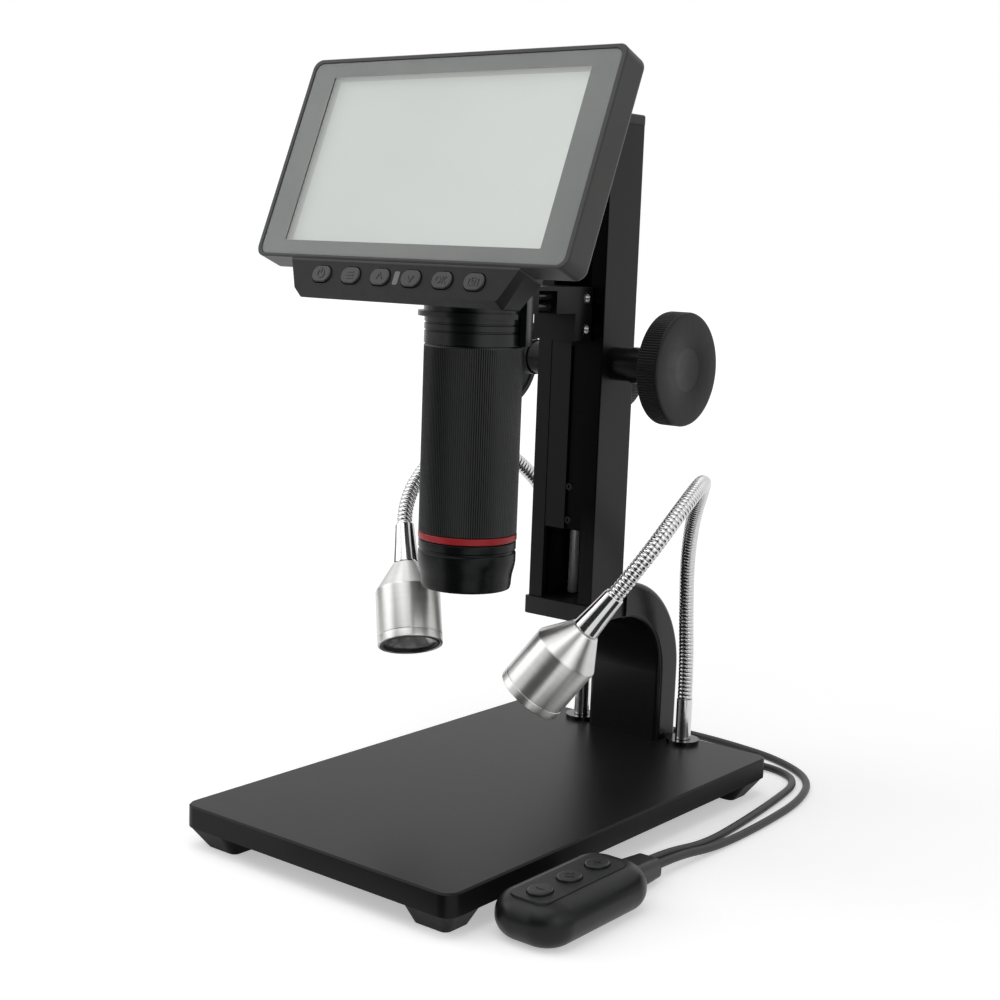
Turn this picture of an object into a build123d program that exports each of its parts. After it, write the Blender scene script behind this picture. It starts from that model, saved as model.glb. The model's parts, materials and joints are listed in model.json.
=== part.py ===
from build123d import *
import math
import os

# LCD digital microscope on a rack-driven stand, with two gooseneck lamps.
# Frame: X across (right +), Y depth (front -), Z up, origin on the surface
# under the middle of the base plate. Millimetres.

# base
BASE_W = 120.5
BASE_L = 194.6
BASE_T = 7.8
BASE_R = 5.0
FOOT_H = 7.5
FOOT_TOP = (20.6, 17.6)
FOOT_INSET = 5.2
DECK = FOOT_H + BASE_T

# column, a channel open to the front
COL_HW = 14.7
COL_Y0 = 35.6
COL_Y1 = 56.5
COL_Z0 = 77.0
COL_Z1 = 255.4
CHAN_HW = 8.5
CHAN_Y = 52.1
CAP_Z0 = 70.2

# bracket that carries the column
BRK_HW = 17.0
BRK_Y0 = 82.7
BRK_T = 14.0
BRK_R = 26.0

# rack and pinion
PIN_Y = 45.2
PIN_Z = 167.9
MODULE = 0.75
PIN_TEETH = 10
PIN_R = MODULE * PIN_TEETH / 2
BACKLASH = 0.16
SHAFT_R = 2.5
KNOB_R = 20.6
KNOB_T = 8.7
KNOB_X = 36.8
TENSION_R = 13.0
TENSION_Z = 161.0

# carriage and arm
CAR_Z0 = 105.0
CAR_Z1 = 195.3
ARM_HW = 9.4
ARM_TOP = 195.9

# barrel
AX_Y = -21.0
SLEEVE_R = 17.25
TUBE_R = 15.7
SLEEVE_Z0 = 110.4
SLEEVE_Z1 = 175.6
RING_Z0 = 108.0
HOOD_Z0 = 90.8
HOOD_Z1 = 107.7
COLLAR_Z1 = 185.8
NECK_R = 17.6
HEAD_HW = 21.0
HEAD_Z0 = 199.5
HEAD_Z1 = 229.5

# screen: own plane, u up the glass, w out of the glass
TILT = 22.07
SCREEN_C = (0, -46.9, 237.3)
SCR_W = 134.4
SCR_H = 74.5
SCR_R = 3.8
SCR_U = 0.5
GLASS_W = 130.4
GLASS_H = 71.6
GLASS_U = 0.25
GLASS_T = 0.8
BEZEL_T = 4.3
SHELL_T = 11.5
VIEW_W = 110.0
VIEW_H = 61.0
BAR_TOP = 49.2
BAR_FRONT = (-48.0, 43.7)
BAR_NOSE = (-49.5, 44.2)
BAR_REAR = (-46.5, 43.2)
BAR_T = 13.0
LOW_U = 30.0
KEY_U = -42.3
KEY_X = (-32.9, -19.6, -6.5, 6.9, 20.0, 33.1)
KEY_W = 8.2
KEY_H = 5.8

# lamps and goosenecks
GOOSE_R = 2.9
SOCKET_X = 25.0
SOCKET_Y = 89.7
SOCKET_R = 3.1
SOCKET_H = 18.0
FERRULE_L = 16.0
CONE_L = 10.3
LAMP_L = 46.8
LAMP_R = 11.9

# inline controller and cords
CTL_X = 76.9
CTL_Y = -56.9
CTL_W = 28.0
CTL_L = 57.7
CTL_H = 14.7
CTL_R = 10.8
PLATE_Y = CTL_Y - 2.2
PLATE_W = 14.8
PLATE_L = 45.7
CTL_KEYS = (PLATE_Y - 15.2, PLATE_Y, PLATE_Y + 15.2)
RELIEF_X = 75.0
RELIEF_Y = -10.3
CORD_R = 1.5
GUIDE_X = 31.0
GUIDE_Z = 3.6
COIL_C = (-20.5, 120.6)
COIL_R = 16.8
COIL_T = 4.6

TOUCH = 0.05
RUN = 0.08
GAP = 0.3


def block(x0, x1, y0, y1, z0, z1):
    return Pos((x0 + x1) / 2, (y0 + y1) / 2, (z0 + z1) / 2) * Box(x1 - x0, y1 - y0, z1 - z0)


def rod(origin, direction, radius, length):
    """Cylinder from origin along direction."""
    place = Plane(origin=origin, z_dir=direction)
    return place * Pos(0, 0, length / 2) * Cylinder(radius, length)


def turned(profile):
    """Solid of revolution about Z from (radius, height) points."""
    with BuildPart() as p:
        with BuildSketch(Plane.XZ):
            with BuildLine():
                Polyline(*profile, close=True)
            make_face()
        revolve(axis=Axis.Z)
    return p.part


def slab(w, h, r, t):
    """Rounded plate lying on Z = 0."""
    return extrude(RectangleRounded(w, h, r), t)


def mirrored(shape):
    return mirror(shape, about=Plane.YZ)


def save(name, *solids):
    shape = solids[0] if len(solids) == 1 else Compound(children=list(solids))
    export_step(shape, "parts/" + name + ".step")


# ---------------------------------------------------------------- base
def base_plate():
    plate = Pos(0, 0, FOOT_H) * slab(BASE_W, BASE_L, BASE_R, BASE_T)
    rim = plate.faces().sort_by(Axis.Z)[-1].edges()
    plate = chamfer(rim, 0.6)
    for x in (-SOCKET_X, SOCKET_X):
        plate -= rod((x, SOCKET_Y, FOOT_H - 1), (0, 0, 1), 3.0 + TOUCH, BASE_T + 2)
    for x in (-9, 9):
        plate -= rod((x, SOCKET_Y, FOOT_H - 1), (0, 0, 1), 2.0 + TOUCH, BASE_T + 2)
        plate -= rod((x, SOCKET_Y, FOOT_H - 1), (0, 0, 1), 3.8, 4.0)
    return plate


def foot(sx, sy):
    """Tapered corner block: outer sides lean in, inner sides stay near upright."""
    w, l = FOOT_TOP
    x1 = BASE_W / 2 - 0.5
    y1 = BASE_L / 2 - 0.5
    top = Pos(x1 - w / 2, y1 - l / 2, FOOT_H) * RectangleRounded(w, l, 3.6)
    bx1 = x1 - FOOT_INSET
    by1 = y1 - FOOT_INSET
    bw = w - FOOT_INSET - 1.2
    bl = l - FOOT_INSET - 0.6
    bottom = Pos(bx1 - bw / 2, by1 - bl / 2, 0) * RectangleRounded(bw, bl, 2.4)
    body = loft([bottom.face(), top.face()])
    if sx < 0:
        body = mirror(body, about=Plane.YZ)
    if sy < 0:
        body = mirror(body, about=Plane.XZ)
    return body


def stand_bracket():
    """Elbow from the deck up and forward to the back of the column."""
    yc = BRK_Y0 - BRK_R
    zc = CAP_Z0 - 0.8 - BRK_R
    top = zc + BRK_R + BRK_T
    y_out = BRK_Y0 + BRK_T
    with BuildPart() as p:
        with BuildSketch(Plane.YZ):
            with BuildLine():
                a = Line((BRK_Y0, DECK), (BRK_Y0, zc))
                b = CenterArc((yc, zc), BRK_R, 0, 90)
                c = Polyline((yc, zc + BRK_R), (COL_Y1, zc + BRK_R), (COL_Y1, top), (yc, top))
                d = CenterArc((yc, zc), BRK_R + BRK_T, 0, 90)
                e = Polyline((y_out, zc), (y_out, DECK), (BRK_Y0, DECK))
            make_face()
        extrude(amount=BRK_HW, both=True)
    body = p.part
    sides = []
    for edge in body.edges():
        c = edge.center()
        on_side = abs(abs(c.X) - BRK_HW) < 0.01
        if on_side and c.Z > DECK + 0.5 and c.Y > COL_Y1 + 0.5:
            sides.append(edge)
    body = fillet(sides, 2.2)
    body -= block(-16, 16, 50, COL_Y1 + 1.25, CAP_Z0 - 2, COL_Z0 + 0.15)
    for x in (-9, 9):
        body -= rod((x, SOCKET_Y, DECK - 1), (0, 0, 1), 2.0 + TOUCH, 17)
    for x in (-7, 7):
        body -= rod((x, 50, 80.4), (0, 1, 0), 1.8 + TOUCH, 30)
        body -= rod((x, 66, 80.4), (0, 1, 0), 3.3, 20)
    return body


def bracket_bolts():
    out = []
    for x in (-9, 9):
        bolt = rod((x, SOCKET_Y, FOOT_H + 0.2), (0, 0, 1), 3.6, 2.6)
        bolt += rod((x, SOCKET_Y, FOOT_H + 0.2), (0, 0, 1), 2.0, 21)
        bolt -= rod((x, SOCKET_Y, FOOT_H), (0, 0, 1), 1.4, 1.6)
        out.append(bolt)
    for x in (-7, 7):
        bolt = rod((x, 66.05, 80.4), (0, 1, 0), 3.1, 2.6)
        bolt += rod((x, CHAN_Y + 0.2, 80.4), (0, 1, 0), 1.8, 15)
        bolt -= rod((x, 67.4, 80.4), (0, 1, 0), 1.3, 2)
        out.append(bolt)
    return out


# ---------------------------------------------------------------- column
def column():
    body = block(-COL_HW, COL_HW, COL_Y0, COL_Y1, COL_Z0, COL_Z1)
    body = fillet(body.edges().filter_by(Axis.Z), 0.4)
    body -= block(-CHAN_HW, CHAN_HW, COL_Y0 - 1, CHAN_Y, COL_Z0 - 1, COL_Z1 + 1)
    for s in (-1, 1):
        x0, x1 = sorted((s * (CHAN_HW - 0.5), s * 11.2))
        body -= block(x0, x1, 37.5, 40.4, COL_Z0 - 1, COL_Z1 + 1)
    body -= rod((-20, PIN_Y, PIN_Z), (1, 0, 0), 3.5 + TOUCH, 40)
    body -= rod((0, CHAN_Y - 2, TENSION_Z), (0, 1, 0), 2.0 + 0.08, 8)
    for x in (-7, 7):
        body -= rod((x, CHAN_Y - 1, 80.4), (0, 1, 0), 1.8 + TOUCH, 8)
    return body


def column_cap(z0, z1, over, side, soft):
    cap = block(-COL_HW - over, COL_HW + over, COL_Y0 - over, COL_Y1 + over, z0, z1)
    cap = fillet(cap.edges().filter_by(Axis.Z), 1.2)
    return fillet(cap.faces().sort_by(Axis.Z)[side].edges(), soft)


def drive_collar():
    """Bearing barrel that carries the pinion shaft out to a knob."""
    body = rod((COL_HW, PIN_Y, PIN_Z), (1, 0, 0), 6.1, 9)
    body += rod((COL_HW + 8, PIN_Y, PIN_Z), (1, 0, 0), 6.7, KNOB_X - 0.5 - COL_HW - 8)
    body += rod((CHAN_HW + 0.2, PIN_Y, PIN_Z), (1, 0, 0), 3.5, COL_HW - CHAN_HW)
    return body - rod((0, PIN_Y, PIN_Z), (1, 0, 0), SHAFT_R + 0.06, 50)


def neck_socket(x):
    """Washer on the deck, sleeve above it and a threaded tail through the plate."""
    body = rod((x, SOCKET_Y, DECK), (0, 0, 1), 6.5, 1.5)
    body += rod((x, SOCKET_Y, DECK), (0, 0, 1), SOCKET_R, SOCKET_H)
    body += rod((x, SOCKET_Y, FOOT_H), (0, 0, 1), 3.0, BASE_T)
    return body - rod((x, SOCKET_Y, DECK + SOCKET_H - 10), (0, 0, 1), 1.6, 11)


def cord_guide():
    """Gland block under the back edge that the lamp wires leave by."""
    body = block(GUIDE_X - 5, GUIDE_X + 5, 82, BASE_L / 2 - 1, 0.6, FOOT_H)
    return fillet(body.edges().filter_by(Axis.Z), 1.2)


# ---------------------------------------------------------------- drive
def involute(base_r, angle):
    r = base_r * math.sqrt(1 + angle * angle)
    return r, angle - math.atan(angle)


def pinion():
    """Ten-tooth gear with slack teeth, on a plain shaft."""
    tip = PIN_R + 0.85 * MODULE
    root = PIN_R - 1.15 * MODULE
    base_r = PIN_R * math.cos(math.radians(20))
    at_pitch = math.tan(math.radians(20)) - math.radians(20)
    half = math.pi / (2 * PIN_TEETH) - BACKLASH / (2 * PIN_R)
    flank = []
    top = math.sqrt((tip / base_r) ** 2 - 1)
    for i in range(6):
        r, turn = involute(base_r, top * i / 5)
        flank.append((r, half + at_pitch - turn))
    points = []
    for tooth in range(PIN_TEETH):
        mid = 2 * math.pi * tooth / PIN_TEETH
        side = [(root, flank[0][1] * 0.8)] + flank
        for r, a in side:
            points.append((r * math.cos(mid - a), r * math.sin(mid - a)))
        for r, a in reversed(side):
            points.append((r * math.cos(mid + a), r * math.sin(mid + a)))
    place = Plane(origin=(-4, PIN_Y, PIN_Z), x_dir=(0, -1, 0), z_dir=(1, 0, 0))
    gear = place * extrude(make_face(Polyline(*points, close=True)), 8)
    return gear + rod((-KNOB_X - 5, PIN_Y, PIN_Z), (1, 0, 0), SHAFT_R, 2 * KNOB_X + 10)


def gear_rack():
    """Toothed bar behind the carriage. A space faces the pinion at rest."""
    pitch = math.pi * MODULE
    line = PIN_Y - PIN_R
    back = line - 1.1 * MODULE
    tip = line + 0.8 * MODULE
    slope = math.tan(math.radians(20))
    half = pitch / 4 - BACKLASH / 2
    z_lo = CAR_Z0 + 1
    z_hi = PIN_Z + 13
    points = [(38.6, z_lo), (back, z_lo)]
    count = int((z_hi - z_lo) / pitch) + 2
    first = math.ceil((z_lo - PIN_Z) / pitch)
    for i in range(count):
        mid = PIN_Z + (first + i + 0.5) * pitch
        if mid + pitch / 2 > z_hi:
            break
        wide = half + (line - back) * slope
        thin = half - (tip - line) * slope
        points += [(back, mid - wide), (tip, mid - thin), (tip, mid + thin), (back, mid + wide)]
    points += [(back, CAR_Z1 - 2), (38.6, CAR_Z1 - 2)]
    with BuildPart() as p:
        with BuildSketch(Plane.YZ):
            with BuildLine():
                Polyline(*points, close=True)
            make_face()
        extrude(amount=3.6, both=True)
    return p.part


def knob():
    """Round hand knob on the right end of the shaft."""
    body = rod((KNOB_X, PIN_Y, PIN_Z), (1, 0, 0), KNOB_R, KNOB_T)
    body = fillet(body.edges().filter_by(GeomType.CIRCLE), 0.8)
    body -= rod((KNOB_X + KNOB_T - 0.5, PIN_Y, PIN_Z), (1, 0, 0), 8.2, 2)
    return body - rod((KNOB_X - 1, PIN_Y, PIN_Z), (1, 0, 0), SHAFT_R + 0.02, 6.1)


def tension_knob():
    """Rear knob whose screw sets how stiffly the carriage runs."""
    z = TENSION_Z
    body = rod((0, COL_Y1 + 2.6, z), (0, 1, 0), TENSION_R, 7.4)
    body = fillet(body.edges().filter_by(GeomType.CIRCLE), 0.8)
    body += rod((0, COL_Y1 + 0.4, z), (0, 1, 0), 5.5, 3)
    return body + rod((0, CHAN_Y + 0.1, z), (0, 1, 0), 2.0, 6)


# ---------------------------------------------------------------- carriage
def carriage():
    body = block(-8.35, 8.35, COL_Y0 + 0.2, 40.6, CAR_Z0, CAR_Z1)
    body += block(-11.05, 11.05, 37.65, 40.25, CAR_Z0, CAR_Z1)
    body -= block(-3.7, 3.7, 38.5, 45, CAR_Z0 - 1, CAR_Z1 + 1)
    body -= block(0.5, 3.5, COL_Y0 - 1, COL_Y0 + 1.2, CAR_Z0 - 1, 174)
    for z in (108.4, 121.1):
        body -= rod((2.0, COL_Y0 - 1, z), (0, 1, 0), 0.9 + TOUCH, 8)
    return body


def carriage_screws():
    out = []
    for z in (108.4, 121.1):
        s = rod((2.0, COL_Y0 + 1.2, z), (0, -1, 0), 1.35, 0.8)
        s += rod((2.0, COL_Y0 + 1.2, z), (0, 1, 0), 0.9, 1.7)
        s -= rod((2.0, COL_Y0 + 0.9, z), (0, -1, 0), 0.6, 1)
        out.append(s)
    return out


def head_bracket():
    """Arm from the carriage to the saddle, with a pocket for the studs."""
    z1 = ARM_TOP
    body = block(-ARM_HW, ARM_HW, -12, COL_Y0 - 0.3, 186.3, z1)
    body += block(-ARM_HW, ARM_HW, 25.1, COL_Y0 - 0.3, 176.3, z1)
    body += block(-8.3, 8.3, 30, COL_Y0 + 0.2, 176.3, CAR_Z1)
    body -= block(1.4, 12, 2.8, 13.5, 186.0, 194.4)
    body -= Pos(0, AX_Y, 190) * Cylinder(20.2, 40)
    for z in (188.6, 192.4):
        body -= rod((5.4, -10, z), (0, 1, 0), 1.5 + TOUCH, 26)
    for z in (180.4, 191.8):
        body -= arm_screw(z, TOUCH)
    return body


def arm_screw(z, grow):
    """Countersunk screw in the right side of the arm."""
    r = 2.45 + grow
    body = rod((ARM_HW + grow, 32.3, z), (-1, 0, 0), r, 0.5 + grow)
    body += Plane(origin=(ARM_HW - 0.5, 32.3, z), z_dir=(-1, 0, 0)) * Pos(0, 0, 0.6) * Cone(r, r - 1.1, 1.2)
    return body + rod((ARM_HW - 1.7, 32.3, z), (-1, 0, 0), 1.25 + grow, 5)


def arm_screws():
    out = []
    for z in (180.4, 191.8):
        dip = rod((ARM_HW + 1, 32.3, z), (-1, 0, 0), 1.5, 2.2)
        out.append(arm_screw(z, 0) - dip)
    return out


def saddle():
    """Half ring behind the barrel's neck."""
    body = Pos(0, AX_Y, 185.9) * Cylinder(20.15, 20)
    body -= Pos(0, AX_Y, 185.9) * Cylinder(NECK_R + 0.08, 24)
    body -= block(-30, 30, -60, AX_Y + 3.4, 170, 200)
    for z in (188.6, 192.4):
        body -= rod((5.4, -10, z), (0, 1, 0), 1.5 + TOUCH, 26)
    return body


def saddle_studs():
    out = []
    for z in (188.6, 192.4):
        s = rod((5.4, -3.2, z), (0, 1, 0), 1.5, 18)
        s += rod((5.4, 12.6, z), (0, 1, 0), 1.8, 0.85)
        out.append(s)
    return out


# ---------------------------------------------------------------- head and barrel
def screen_plane(u, w):
    """Plane of the glass, moved u up it and w out of it."""
    t = math.radians(TILT)
    up = (0, math.sin(t), math.cos(t))
    out = (0, -math.cos(t), math.sin(t))
    origin = tuple(SCREEN_C[i] + up[i] * u + out[i] * w for i in range(3))
    return Plane(origin=origin, x_dir=(1, 0, 0), z_dir=out)


def head_housing():
    """Collar, neck and box that carry the screen and hold the camera."""
    body = turned([
        (0, 175.9), (17.3, 175.9), (17.3, 180.0), (16.9, 180.2), (16.9, 180.5),
        (17.3, 180.7), (17.3, 182.6), (16.9, 182.8), (16.9, 183.1), (17.3, 183.3),
        (17.3, COLLAR_Z1), (NECK_R, COLLAR_Z1), (NECK_R, 205), (0, 205),
    ])
    body = Pos(0, AX_Y, 0) * body
    lip = Pos(0, AX_Y, 186) * Cylinder(19.6, 1.8)
    lip -= block(-30, 30, AX_Y - 1, 30, 180, 190)
    body += lip
    box = block(-HEAD_HW, HEAD_HW, -62, -2, HEAD_Z0, HEAD_Z1)
    back = box.edges().filter_by(Axis.Z).sort_by(Axis.Y)[-2:]
    box = fillet(back, 9)
    box = fillet(box.faces().sort_by(Axis.Z)[-1].edges().sort_by(Axis.Y)[-1:], 3)
    body += box
    body -= screen_plane(0, -SHELL_T - 0.02) * Pos(0, 0, 60) * Box(200, 200, 120)
    body -= screen_plane(0, -BAR_T - 0.02) * Pos(0, -LOW_U - 50 + 0.02, 60) * Box(200, 100, 120)
    body -= Pos(0, AX_Y, 187) * Cylinder(TUBE_R + TOUCH, 30)
    cavity = block(-18.4, 18.4, -60, -4.8, HEAD_Z0 + 2.0, HEAD_Z1 - 2.2)
    cavity -= screen_plane(0, -SHELL_T - 2.2) * Pos(0, 0, 60) * Box(200, 200, 120)
    return body - cavity


def lens_tube():
    wall = turned([
        (12.5, 97.2), (TUBE_R, 97.2), (TUBE_R, 201.5), (9, 201.5), (9, 199.5), (12.5, 199.5),
    ])
    return Pos(0, AX_Y, 0) * wall


def sensor_board():
    board = block(-10, 10, AX_Y - 10, AX_Y + 10, 201.5, 203.1)
    chip = block(-5, 5, AX_Y - 5, AX_Y + 5, 200.2, 201.5)
    return board + chip


def objective_lens():
    dome = turned([
        (0, 101.4), (12.4, 101.4), (12.4, 99.0), (10.5, 98.3), (7.5, 97.75), (4, 97.5), (0, 97.4),
    ])
    return Pos(0, AX_Y, 0) * dome


def focus_sleeve():
    wall = turned([
        (TUBE_R + RUN, SLEEVE_Z0), (SLEEVE_R, SLEEVE_Z0), (SLEEVE_R, SLEEVE_Z1 - 0.5),
        (SLEEVE_R - 0.5, SLEEVE_Z1), (TUBE_R + RUN, SLEEVE_Z1),
    ])
    return Pos(0, AX_Y, 0) * wall


def accent_ring():
    wall = turned([
        (TUBE_R + RUN, RING_Z0), (SLEEVE_R + 0.1, RING_Z0),
        (SLEEVE_R + 0.1, SLEEVE_Z0), (TUBE_R + RUN, SLEEVE_Z0),
    ])
    return Pos(0, AX_Y, 0) * wall


def lens_hood():
    wall = turned([
        (TUBE_R + TOUCH, 97.2), (TUBE_R + TOUCH, HOOD_Z1), (17.15, HOOD_Z1), (17.15, 104.9),
        (16.6, 104.6), (16.6, 104.0), (17.2, 103.6), (17.2, 100.4), (16.9, 98.6),
        (16.05, 95.2), (15.8, 91.6), (15.4, HOOD_Z0), (14.2, HOOD_Z0), (13.2, 92.0), (12.6, 97.2),
    ])
    return Pos(0, AX_Y, 0) * wall


# ---------------------------------------------------------------- screen
def bar_face(w, low_edge, grow=0):
    """Outline of the key bar at depth w, shrunk by grow. low_edge is its height and half width."""
    top = -SCR_H / 2 + SCR_U
    low, half = low_edge
    outline = Polyline(
        (-BAR_TOP + grow, top + 6), (-BAR_TOP + grow, top - 0.5), (-half + grow, low + grow),
        (half - grow, low + grow), (BAR_TOP - grow, top - 0.5), (BAR_TOP - grow, top + 6),
        close=True,
    )
    face = make_face(outline)
    corners = face.vertices().sort_by(Axis.Y)[:2]
    return (Pos(0, 0, w) * fillet(corners, 1.5)).face()


def screen_bezel():
    frame = Pos(0, SCR_U, -BEZEL_T) * slab(SCR_W, SCR_H, SCR_R, BEZEL_T + 0.15)
    edge = frame.faces().sort_by(Axis.Z)[-1].edges()
    frame = chamfer(edge, 0.45)
    frame += loft([bar_face(-BEZEL_T, BAR_NOSE), bar_face(-0.5, BAR_FRONT)], ruled=True)
    frame -= Pos(0, GLASS_U, -GLASS_T - 0.02) * slab(GLASS_W + 0.3, GLASS_H + 0.3, 3.1, 3)
    frame -= Pos(0, GLASS_U, -BEZEL_T - 1) * slab(117, 67, 1, 8)
    for x in KEY_X:
        frame -= Pos(x, KEY_U, -BEZEL_T - 1) * slab(KEY_W + 0.6, KEY_H + 0.6, 3.1, 8)
    frame -= Pos(0.3, KEY_U, -1.7) * slab(2.3, 4.7, 0.6, 3)
    return screen_plane(0, 0) * frame


def screen_rear_cover():
    depth = SHELL_T - BEZEL_T
    shell = Pos(0, SCR_U, -SHELL_T) * slab(SCR_W, SCR_H, SCR_R, depth)
    shell = fillet(shell.faces().sort_by(Axis.Z)[0].edges(), 2.0)
    shell += loft([bar_face(-BAR_T, BAR_REAR), bar_face(-BEZEL_T, BAR_NOSE)], ruled=True)
    shell -= Pos(0, SCR_U, -SHELL_T + 2) * slab(SCR_W - 4.4, SCR_H - 4.4, 2.5, SHELL_T)
    shell -= extrude(bar_face(-BAR_T + 1.6, BAR_REAR, 2.2), BAR_T)
    for x in (-54, 54):
        for u in (-28, 28):
            shell -= Pos(x, u, -SHELL_T + 0.2) * Cylinder(2.3, 1.6)
    return screen_plane(0, 0) * shell


def cover_screws():
    out = []
    for x in (-54, 54):
        for u in (-28, 28):
            s = Pos(x, u, -SHELL_T + 1.0 - 0.4) * Cylinder(2.1, 0.8)
            s -= Pos(x, u, -SHELL_T + 0.2) * Box(2.6, 0.6, 0.5)
            s -= Pos(x, u, -SHELL_T + 0.2) * Box(0.6, 2.6, 0.5)
            out.append(screen_plane(0, 0) * s)
    return out


def cover_glass():
    pane = Pos(0, GLASS_U, -GLASS_T) * slab(GLASS_W, GLASS_H, 3.0, GLASS_T)
    return screen_plane(0, 0) * pane


def lcd_panel():
    """Module behind the glass, its bright face a few millimetres down."""
    pane = Pos(0, 0, -5.4) * slab(116, 66, 0.8, 2.0)
    return screen_plane(0, 0) * pane


def main_board():
    board = Pos(0, -4, -8.9) * slab(104, 58, 1, 1.4)
    for x, u, w, h in ((-20, 0, 14, 14), (10, 8, 9, 9), (30, -12, 12, 6)):
        board += Pos(x, u, -6.9) * Box(w, h, 1.3)
    return screen_plane(0, 0) * board


def key(x):
    """Push key with a slim stem that stands on the board side."""
    cap = Pos(x, KEY_U, -3.4) * slab(KEY_W, KEY_H, 2.8, 3.6)
    cap = fillet(cap.faces().sort_by(Axis.Z)[-1].edges(), 0.5)
    return screen_plane(0, 0) * cap


def status_window():
    return screen_plane(0, 0) * Pos(0.3, KEY_U, -1.65) * slab(2.2, 4.6, 0.55, 1.2)


# ---------------------------------------------------------------- lamps
NECK_LEFT = [
    (-25.0, 89.7, 45.4), (-27.5, 89.2, 68.7), (-31.1, 84.7, 89.7), (-35.4, 74.2, 109.6),
    (-39.6, 57.8, 125.8), (-43.1, 36.4, 135.5), (-45.4, 15.6, 131.8),
]
NECK_RIGHT = [
    (25.0, 89.7, 46.5), (25.9, 85.6, 70.3), (30.1, 77.4, 92.5), (39.0, 65.4, 111.1),
    (52.4, 48.9, 125.7), (64.7, 28.7, 131.5), (69.6, 6.6, 123.4),
]
LAMP_LEFT = ((-41.8, -6.8, 105.6), (0.373, -0.323, -0.838))
LAMP_RIGHT = ((57.9, -12.8, 95.5), (-0.566, -0.236, -0.817))
LAST_RUN = {"left": 10.5, "right": 14.4}
SPLIT = 4


def corner_radii(points, name):
    out = []
    for a, b, c in zip(points, points[1:], points[2:]):
        u = Vector(*b) - Vector(*a)
        v = Vector(*c) - Vector(*b)
        half = math.radians(u.get_angle(v)) / 2
        out.append(0.45 * min(u.length, v.length) / math.tan(half))
    print(name, "radii", [round(r, 1) for r in out])
    return out


def tube(points, radius, name):
    """Round tube on straight runs joined by tangent arcs."""
    if len(points) == 2:
        path = Line(points[0], points[1])
    else:
        path = FilletPolyline(*points, radius=corner_radii(points, name))
    start = Vector(*points[0])
    ahead = Vector(*points[1]) - start
    ring = Plane(origin=start, z_dir=ahead) * Circle(radius)
    body = sweep(ring, path=path)
    print(name, "length", round(path.length, 1), "volume ratio",
          round(body.volume / (path.length * math.pi * radius ** 2), 4))
    return body


def unit(a, b):
    return (Vector(*b) - Vector(*a)).normalized()


def neck_pair(points, lamp, side):
    """Lower and upper halves of one gooseneck. A ball and a cross pin of the upper half sit at the split."""
    top = Vector(*lamp[0])
    root = (points[0][0], SOCKET_Y, DECK + SOCKET_H + GAP)
    joint = Vector(*points[SPLIT])
    before = unit(points[SPLIT - 1], points[SPLIT])
    end = joint - before * (GOOSE_R + GAP)
    lower_pts = [root] + points[:SPLIT] + [tuple(end)]
    last = top - Vector(*lamp[1]).normalized() * LAST_RUN[side]
    upper_pts = [tuple(joint)] + points[SPLIT + 1:] + [tuple(last), tuple(top)]
    lower = tube(lower_pts, GOOSE_R, "neck_lower_" + side)
    lower += rod((root[0], SOCKET_Y, root[2] - 9), (0, 0, 1), 1.52, 9.5)
    upper = tube(upper_pts, GOOSE_R, "neck_upper_" + side)
    upper += Pos(*joint) * Sphere(GOOSE_R)
    cross = (top - joint).cross(Vector(0, 0, 1)).normalized()
    upper += rod(tuple(joint - cross * 1.9), tuple(cross), 2.45, 3.8)
    return lower, upper


def lamp_parts(lamp):
    """Chrome ferrule, turned housing and lens, along the lamp's own axis."""
    place = Plane(origin=lamp[0], z_dir=lamp[1])
    shoulder = FERRULE_L + CONE_L
    ferrule = turned([
        (0, 0), (3.3, 0), (3.5, 0.5), (4.75, FERRULE_L), (0, FERRULE_L),
    ])
    housing = turned([
        (0, FERRULE_L), (5.3, FERRULE_L), (LAMP_R, shoulder), (LAMP_R, LAMP_L - 3.2),
        (LAMP_R - 0.25, LAMP_L - 3.1), (LAMP_R - 0.25, LAMP_L - 2.9), (LAMP_R, LAMP_L - 2.8),
        (LAMP_R, LAMP_L - 0.4), (LAMP_R - 0.4, LAMP_L), (LAMP_R - 1.0, LAMP_L),
        (LAMP_R - 1.0, LAMP_L - 8), (0, LAMP_L - 8),
    ])
    lens = turned([
        (0, LAMP_L - 7.9), (4.5, LAMP_L - 7.9), (LAMP_R - 1.1, LAMP_L - 2.6),
        (LAMP_R - 1.1, LAMP_L - 1.6), (0, LAMP_L - 1.6),
    ])
    return place * ferrule, place * housing, place * lens


# ---------------------------------------------------------------- controller and cords
def controller_case():
    body = Pos(CTL_X, CTL_Y, 0) * slab(CTL_W, CTL_L, CTL_R, CTL_H)
    body = fillet(body.faces().sort_by(Axis.Z)[-1].edges(), 7.0)
    body = fillet(body.faces().sort_by(Axis.Z)[0].edges(), 7.0)
    rear = CTL_Y + CTL_L / 2
    wide = Plane(origin=(CTL_X, rear - 7, 6.4), x_dir=(1, 0, 0), z_dir=(0, 1, 0))
    thin = Plane(origin=(RELIEF_X, RELIEF_Y, 4.7), x_dir=(1, 0, 0), z_dir=(0, 1, 0))
    body += loft([
        (wide * RectangleRounded(12.6, 9.4, 2.6)).face(),
        (thin * RectangleRounded(10.4, 7.0, 2.2)).face(),
    ])
    body -= Pos(CTL_X, PLATE_Y, CTL_H - 0.7) * slab(PLATE_W + 0.2, PLATE_L + 0.2, 4, 3)
    for y in CTL_KEYS:
        body -= Pos(CTL_X, y, CTL_H - 2.4) * extrude(Ellipse(3.95, 4.9), 4)
    return body


def controller_cover():
    body = Pos(CTL_X, PLATE_Y, CTL_H - 0.7) * slab(PLATE_W, PLATE_L, 3.9, 0.9)
    for y in CTL_KEYS:
        body -= Pos(CTL_X, y, CTL_H - 2) * extrude(Ellipse(3.95, 4.9), 4)
    return body


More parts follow.
